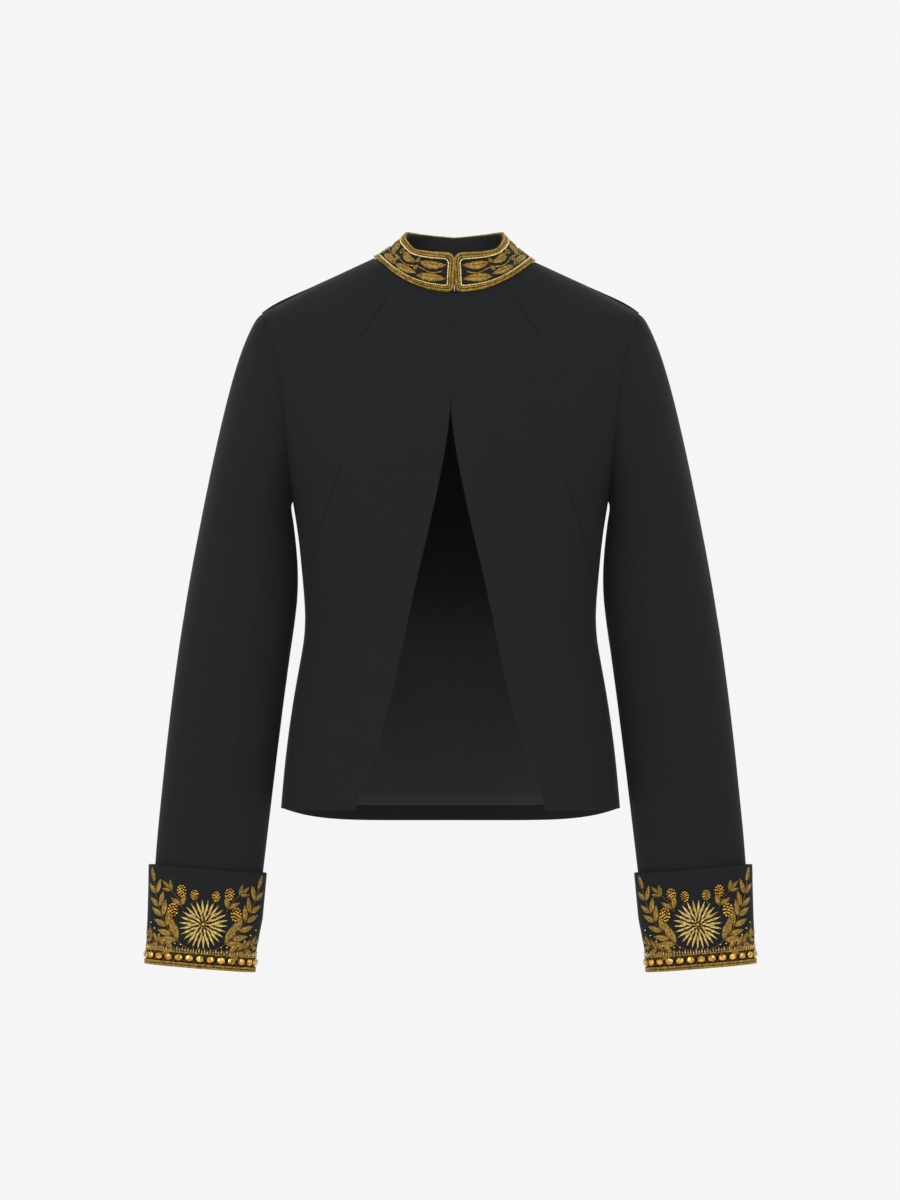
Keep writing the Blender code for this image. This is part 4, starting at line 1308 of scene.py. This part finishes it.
# Rings of a rosette, outer to inner: petals, radius in mm, their length and width, the turn of the
# first in degrees, and how high they stand
ROSETTE_RINGS = (
    (26, 17.6, 13.6, 3.6, 0.0, 1.5),
    (18, 11.6, 11.0, 3.5, 7.0, 2.2),
    (10, 6.8, 7.2, 3.6, 0.0, 2.9),
)
# Laurel stems of a cuff in mm: three guide places from a rosette's middle (distance, up), then leaf
# pairs, leaf length and width, and where the first pair stands
CUFF_STEMS = (
    ((6.0, 17.5), (40.0, 24.0), (55.0, 82.0), 6, 20.0, 7.4, 0.3),
    ((10.0, 16.5), (36.0, 15.0), (60.0, 28.0), 4, 16.0, 6.4, 0.38),
    ((22.0, 58.0), (25.0, 68.0), (36.0, 77.0), 2, 14.0, 5.6, 0.15),
)
# Berry clusters in mm: distance from the middle of a rosette, up, size
CUFF_BERRIES = ((31.5, 56.0, 1.15), (23.5, 75.5, 1.0), (10.5, 72.5, 0.85))
# Fine threads in mm: where each leaves the rosette's foot, as distance and up, and how high it
# ends at the side
CUFF_THREADS = (
    (4.0, 16.4, 40.0), (6.0, 16.2, 35.5), (8.0, 16.0, 31.0), (10.0, 16.0, 26.5), (12.0, 16.0, 22.0),
)


@dataclass
class Cuff:
    """A turned-back cuff: plain black cloth, corded edge, bead row, rosettes and leaf sprays."""

    side: Side
    wall: float = 2.2
    lip: float = 5.4
    lip_height: float = 2.2
    rise: float = 8.6
    height: float = 98.6
    power: float = 2.2
    columns: int = 120
    edge_cords: Pair = (1.3, 3.9)
    top_cord: float = 14.8
    bead_line: float = 9.6
    bead_pitch: float = 11.3
    bead: float = 7.6
    fringe_foot: float = 14.6
    fringe_height: float = 4.6
    fringe_width: float = 2.3
    fringe_pitch: float = 2.9
    rosette_up: float = 44.0
    heart_radius: float = 3.3
    zigzag_swing: float = 3.6
    thread_turn: float = 37.82
    thread_reach: float = 61.5
    flat: Pair = (0.27, 0.115)
    area: float = 0.03

    def section(self, height: float, shrink: float, turn: float) -> Triple:
        """A place of a level section in metres; the turn is 0 on the outer side and grows to the front."""
        table = np.array(CUFF_ROWS)
        outer, inner, depth, back = (
            float(np.interp(height, table[:, 0], table[:, i])) for i in (1, 2, 3, 4)
        )
        outer, inner, depth = outer - shrink, inner + shrink, depth - 2 * shrink
        across, along = oval(turn, self.power)
        x = (outer + inner) / 2 + (outer - inner) / 2 * along
        place = (self.side.value * x, back - depth / 2 * across, height + self.rise / 2 * along)
        return tuple(value * MM for value in place)

    def ring(self, height: float, shrink: float) -> list[Triple]:
        """A closed level section, its first place repeated at its end."""
        loop = [self.section(height, shrink, TURN * i / self.columns) for i in range(self.columns)]
        return loop + loop[:1]

    def measure(self) -> Band:
        """The cuff's outer side as a band, with along 0 at the middle of its front."""
        low, high = CUFF_ROWS[0][0], CUFF_ROWS[-1][0]
        rows = np.array([self.ring(height, 0.0) for height in np.linspace(low, high, 15)])
        ends = [self.section(0.5 * (low + high), 0.0, turn) for turn in (0.0, math.pi)]
        middle = np.mean(ends, axis=0)
        return Band.from_grid(rows.transpose(1, 0, 2), middle, self.height, True, self.columns // 4)

    def lay_cloth(self, material: Material) -> Object:
        """The cuff's black cloth: down its outer side, under the sleeve's end and up inside."""
        low, high = CUFF_ROWS[0][0], CUFF_ROWS[-1][0]
        wall, lip, ledge = self.wall, self.lip, low + self.lip_height
        profile = [
            (high, wall - 0.5), (high - 0.5, wall), (0.5 * (low + high), wall), (low + 12.0, wall),
            (ledge + 0.1, wall), (ledge, wall + 0.2), (ledge, lip - 0.4), (ledge - 0.4, lip),
            (low + 0.5, lip), (low, lip - 0.5), (low, 0.9), (low + 0.25, 0.25), (low + 0.9, 0.0),
            *((height, 0.0) for height in np.linspace(low + 4.0, high - 3.0, 22)),
            (high - 0.5, 0.0), (high, 0.5), (high, wall - 0.5),
        ]
        rows = np.array([self.ring(height, shrink) for height, shrink in profile])
        cloth = Workshop.sheet(f"cloth_cuff_{self.side.label}", rows)
        Workshop.join_rims(cloth)
        Workshop.smooth(cloth, 60.0)
        cloth.data.materials.append(material)
        return Workshop.hand_over(cloth, "cloth", f"cuff_{self.side.label}")

    def build(self, finishes: dict[str, Material]) -> None:
        """Makes the cuff and its goldwork."""
        band, word = self.measure(), self.side.label
        LOG.info("cuff band %.1f mm round", band.length)
        cloth = self.lay_cloth(finishes["wool"])
        work = {
            name: Goldwork(f"cuff_{word}_{name}", finish, "cuff_goldwork", name == "beads")
            for name, finish in CUFF_FINISHES.items()
        }
        self.sew_edge(band, work)
        self.sew_fringe(band, work)
        for centre in (0.0, 0.5 * band.length):
            self.sew_rosette(centre, work)
            for way in (-1.0, 1.0):
                self.sew_spray(centre, way, work)
        pieces = [one.build(band, finishes) for one in work.values()]

    def line(self, band: Band, up: float, out: float) -> Array:
        """A level line all round the cuff."""
        at = np.linspace(0.0, band.length, 300, endpoint=False)
        return np.column_stack((at, np.full(300, up), np.full(300, out)))

    def sew_edge(self, band: Band, work: Work) -> None:
        """The two cords at the lower edge and the row of large beads above them."""
        for up in self.edge_cords:
            work["cord"].cord(self.line(band, up, 0.9), 2.5, 3.3)
        count = round(band.length / self.bead_pitch)
        pitch = band.length / count
        for i in range(count):
            work["beads"].bead((i * pitch, self.bead_line, 0.9), self.bead, 8, 6, 1.12, 0.0, 0.62)
        at = np.linspace(0.0, band.length, count * 16, endpoint=False)
        for phase in (0.0, 0.5):
            swing = self.bead_line + self.zigzag_swing * np.cos(TURN * (at / pitch + phase))
            path = np.column_stack((at, swing, np.full(len(at), 0.45)))
            work["zigzag"].tube(path, 0.5, 5, closed=True)
        work["cord"].cord(self.line(band, self.top_cord, 0.4), 1.4, 2.2)

    def sew_fringe(self, band: Band, work: Work) -> None:
        """Upright purls side by side above the bead row, every other one taller."""
        count = round(band.length / self.fringe_pitch)
        for i in range(count):
            tall = self.fringe_height * (1.0 + 0.35 * (i % 2))
            middle = ((i + 0.5) * band.length / count, self.fringe_foot + tall / 2)
            work["rosettes"].leaf(middle, tall, self.fringe_width, 90.0, 0.0, 1.3)

    def sew_rosette(self, centre: float, work: Work) -> None:
        """A many-petalled flower of purl with a beaded heart."""
        for count, radius, length, width, start, rise in ROSETTE_RINGS:
            for i in range(count):
                turn = start + 360.0 * i / count
                angle = math.radians(turn)
                x, up = centre + radius * math.cos(angle), self.rosette_up + radius * math.sin(angle)
                work["rosettes"].leaf((x, up), length, width, turn, 0.0, rise)
        work["seeds"].bead((centre, self.rosette_up, 2.6), 4.0)
        for i in range(7):
            angle = TURN * i / 7
            x = centre + self.heart_radius * math.cos(angle)
            up = self.rosette_up + self.heart_radius * math.sin(angle)
            work["seeds"].bead((x, up, 2.4), 2.2)

    def sew_spray(self, centre: float, way: float, work: Work) -> None:
        """Laurel stems, fine threads and berries on one side of a rosette.

        Args:
            centre: Where the rosette's middle lies along the band.
            way: 1 for the side further along the band and -1 for the other.
            work: The cuff's goldwork by kind.
        """

        def lay(line: Array, out: float, radius: float, sides: int) -> None:
            """Sews a line, given as distance from the rosette and up, as a stem."""
            path = (centre + way * line[:, 0], line[:, 1], np.full(len(line), out))
            work["stems"].tube(np.stack(path, axis=1), radius, sides)

        for *guides, pairs, length, width, opening in CUFF_STEMS:
            line = bow(*guides, 40)
            lay(line, 0.5, 0.6, 6)
            for spot in np.linspace(opening, 0.9, pairs):
                k = round(39 * spot)
                run = line[min(k + 1, 39)] - line[k - 1]
                aim = math.degrees(math.atan2(run[1], run[0]))
                size = 1.0 - 0.25 * spot
                for spread in (36.0, -36.0):
                    leaf = (aim + spread, size * length, size * width)
                    self.sew_leaf(line[k], *leaf, centre, way, work)
            self.sew_leaf(line[-1], aim, 0.75 * length, 0.75 * width, centre, way, work)
        for foot, low, high in CUFF_THREADS:
            ends = ((foot, low), (self.thread_turn, low + 0.6), (self.thread_reach, high))
            lay(bow(*ends, 24), 0.35, 0.4, 5)
        for share in np.linspace(0.15, 0.95, 7):
            up = 21.0 + 22.0 * share**2.2 + 1.4 * math.sin(9.0 * share)
            work["pearls"].bead((centre + way * (14.0 + 46.0 * share), up, 0.8), 1.8, 6, 4)
        for distance, up, size in CUFF_BERRIES:
            self.sew_berries(centre + way * distance, up, way, size, work)

    def sew_leaf(self, root: Array, aim: float, length: float, width: float, centre: float,
                 way: float, work: Work) -> None:
        """One leaf that springs from a stem at root, aimed in degrees from level."""
        angle = math.radians(aim)
        x, up = root + 0.52 * length * np.array((math.cos(angle), math.sin(angle)))
        turn = aim if way > 0 else 180.0 - aim
        work["leaves"].leaf((centre + way * x, up), length, width, turn, way * 10.0, 1.6)

    def sew_berries(self, along: float, up: float, way: float, size: float, work: Work) -> None:
        """A cluster of small beads in an oval, on a short stalk."""
        spots = [(0.0, 0.0, 2.0)]
        for ring, count in ((2.4 * size, 6), (4.6 * size, 11)):
            for i in range(count):
                angle = TURN * (i + 0.25 * ring) / count
                x, y = 0.85 * ring * math.cos(angle), 1.15 * ring * math.sin(angle)
                spots.append((x, y, max(2.1 - 0.3 * ring, 0.8)))
        for x, y, out in spots:
            work["seeds"].bead((along + way * x, up + y, out), 2.4 * size, 6, 4)
        down = np.linspace(0.0, 3.0, 6)
        stalk = np.column_stack((along + way * 0.6 * down, up - 5.0 - 1.6 * down, np.full(6, 0.4)))
        work["stems"].tube(stalk, 0.45, 5)


# The whole


def make_finishes() -> dict[str, Material]:
    """Makes the shared groups, then every material of the jacket, by name."""
    crepe, line, threads = Effects.crepe(), Effects.seam_line(), Effects.threads()
    # The collar's inner wool is the same cloth painted paler, as painted light on its inner side
    wools = [Wool("wool"), Wool("wool_inner", (0.029, 0.029, 0.0295), (0.035, 0.035, 0.036))]
    for side in Side:
        darts = tuple(
            tuple((-side.value * x, z) for x, z in dart) for dart in (NECK_DART, BUST_DART)
        )
        wools.append(Wool(f"wool_front_{side.label}", darts=darts))
    golds = (
        MetalThread("cord_gold", (0.66, 0.44, 0.1), (0.13, 0.07, 0.015), 0.36),
        MetalThread("pale_gold", (1.0, 0.84, 0.42), (0.5, 0.36, 0.12), 0.26, 1.0),
        MetalThread("purl_gold", (0.86, 0.68, 0.27), (0.22, 0.14, 0.035), 0.3, 1.0),
        MetalThread(
            "leaf_gold", (0.56, 0.37, 0.075), (0.13, 0.068, 0.012), 0.42, 0.85,
            slant=5.0, vein=(0.16, 0.05, 0.015),
        ),
        MetalThread("bronze", (0.24, 0.14, 0.045), (0.06, 0.028, 0.009), 0.45, 0.8),
    )
    made = {wool.name: wool.build(crepe, line) for wool in wools}
    made |= {gold.name: gold.build(threads) for gold in golds}
    plain = (Satin("satin"), Glass("amber_glass"), Wire("steel_wire"))
    return made | {finish.name: finish.build() for finish in plain}


def dress(frame: dict, finishes: dict[str, Material]) -> None:
    """Makes every piece of the jacket on its frame."""
    for side in Side:
        for piece in CLOTH_PIECES:
            skin = piece.build(side, frame, finishes)
            LOG.info("%s: %d faces", skin.name, len(skin.data.polygons))
    Collar().build(frame, finishes)
    for side in Side:
        Cuff(side).build(finishes)
    for name in ("hook", "eye"):
        materials = frame["nodes"][name].data.materials
        materials.clear()
        materials.append(finishes["steel_wire"])


@dataclass
class Studio:
    """A plain pale studio: even light, a floor below and a camera straight in front.

    A light has its name, its place, its size and its power.
    """

    middle: Pair = (-0.5 * MM, -338.0 * MM)
    view_height: float = 1.2
    distance: float = 10.0
    sensor: float = 36.0
    floor_height: float = -1.4
    floor_size: float = 8.0
    pale: float = 0.915
    aim: Triple = (0.0, 0.0, -0.2)
    lights: tuple[tuple[str, Triple, float, float], ...] = (
        ("key", (-1.9, -3.0, 1.8), 1.6, 38.0),
        ("fill", (2.2, -2.8, 1.3), 1.8, 18.0),
    )

    def build(self) -> None:
        """Makes the world, lights, floor and camera."""
        self.add_world()
        self.add_lights()
        self.add_floor()
        self.add_camera()

    def add_world(self) -> None:
        """An even pale surround."""
        scene = bpy.context.scene
        scene.view_settings.view_transform = "Standard"
        world = scene.world or bpy.data.worlds.new("World")
        scene.world = world
        world.use_nodes = True
        surround = world.node_tree.nodes["Background"]
        surround.inputs["Color"].default_value = (self.pale, self.pale, self.pale, 1.0)
        surround.inputs["Strength"].default_value = 1.0

    def add_lights(self) -> None:
        """A large soft light to each side of the camera, the left one stronger."""
        for name, place, size, power in self.lights:
            lamp = bpy.data.lights.new(name, "AREA")
            lamp.shape, lamp.size, lamp.energy = "SQUARE", size, power
            item = Workshop.add(name, lamp)
            item.location = place
            aim = Vector(self.aim) - Vector(place)
            item.rotation_euler = aim.to_track_quat("-Z", "Y").to_euler()

    def add_floor(self) -> None:
        """A pale matt floor under the jacket."""
        bpy.ops.object.select_all(action="DESELECT")
        bpy.ops.mesh.primitive_plane_add(size=self.floor_size, location=(0, 0, self.floor_height))
        floor = bpy.context.active_object
        floor.name = "floor"
        material, shader, skin, place = Finish("pale_floor").start()
        grain = shader.noise(place["Object"], 40.0, 3.0)
        colour = shader.mix(grain, (0.93, 0.93, 0.93), (0.96, 0.96, 0.96))
        shader.fill(skin, {"Base Color": colour, "Roughness": 0.9})
        floor.data.materials.append(material)

    def add_camera(self) -> None:
        """A long lens, level and straight in front."""
        camera = bpy.data.cameras.new("camera")
        camera.sensor_width = self.sensor
        camera.lens = self.sensor * self.distance / self.view_height
        item = Workshop.add("camera", camera)
        item.location = (self.middle[0], -self.distance, self.middle[1])
        item.rotation_euler = (math.radians(90), 0.0, 0.0)
        bpy.context.scene.camera = item


def main() -> None:
    """Builds the jacket in order and reports."""
    logging.basicConfig(level=logging.INFO, format="%(message)s")
    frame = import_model()
    Studio().build()
    dress(frame, make_finishes())


if __name__ == "__main__":
    main()
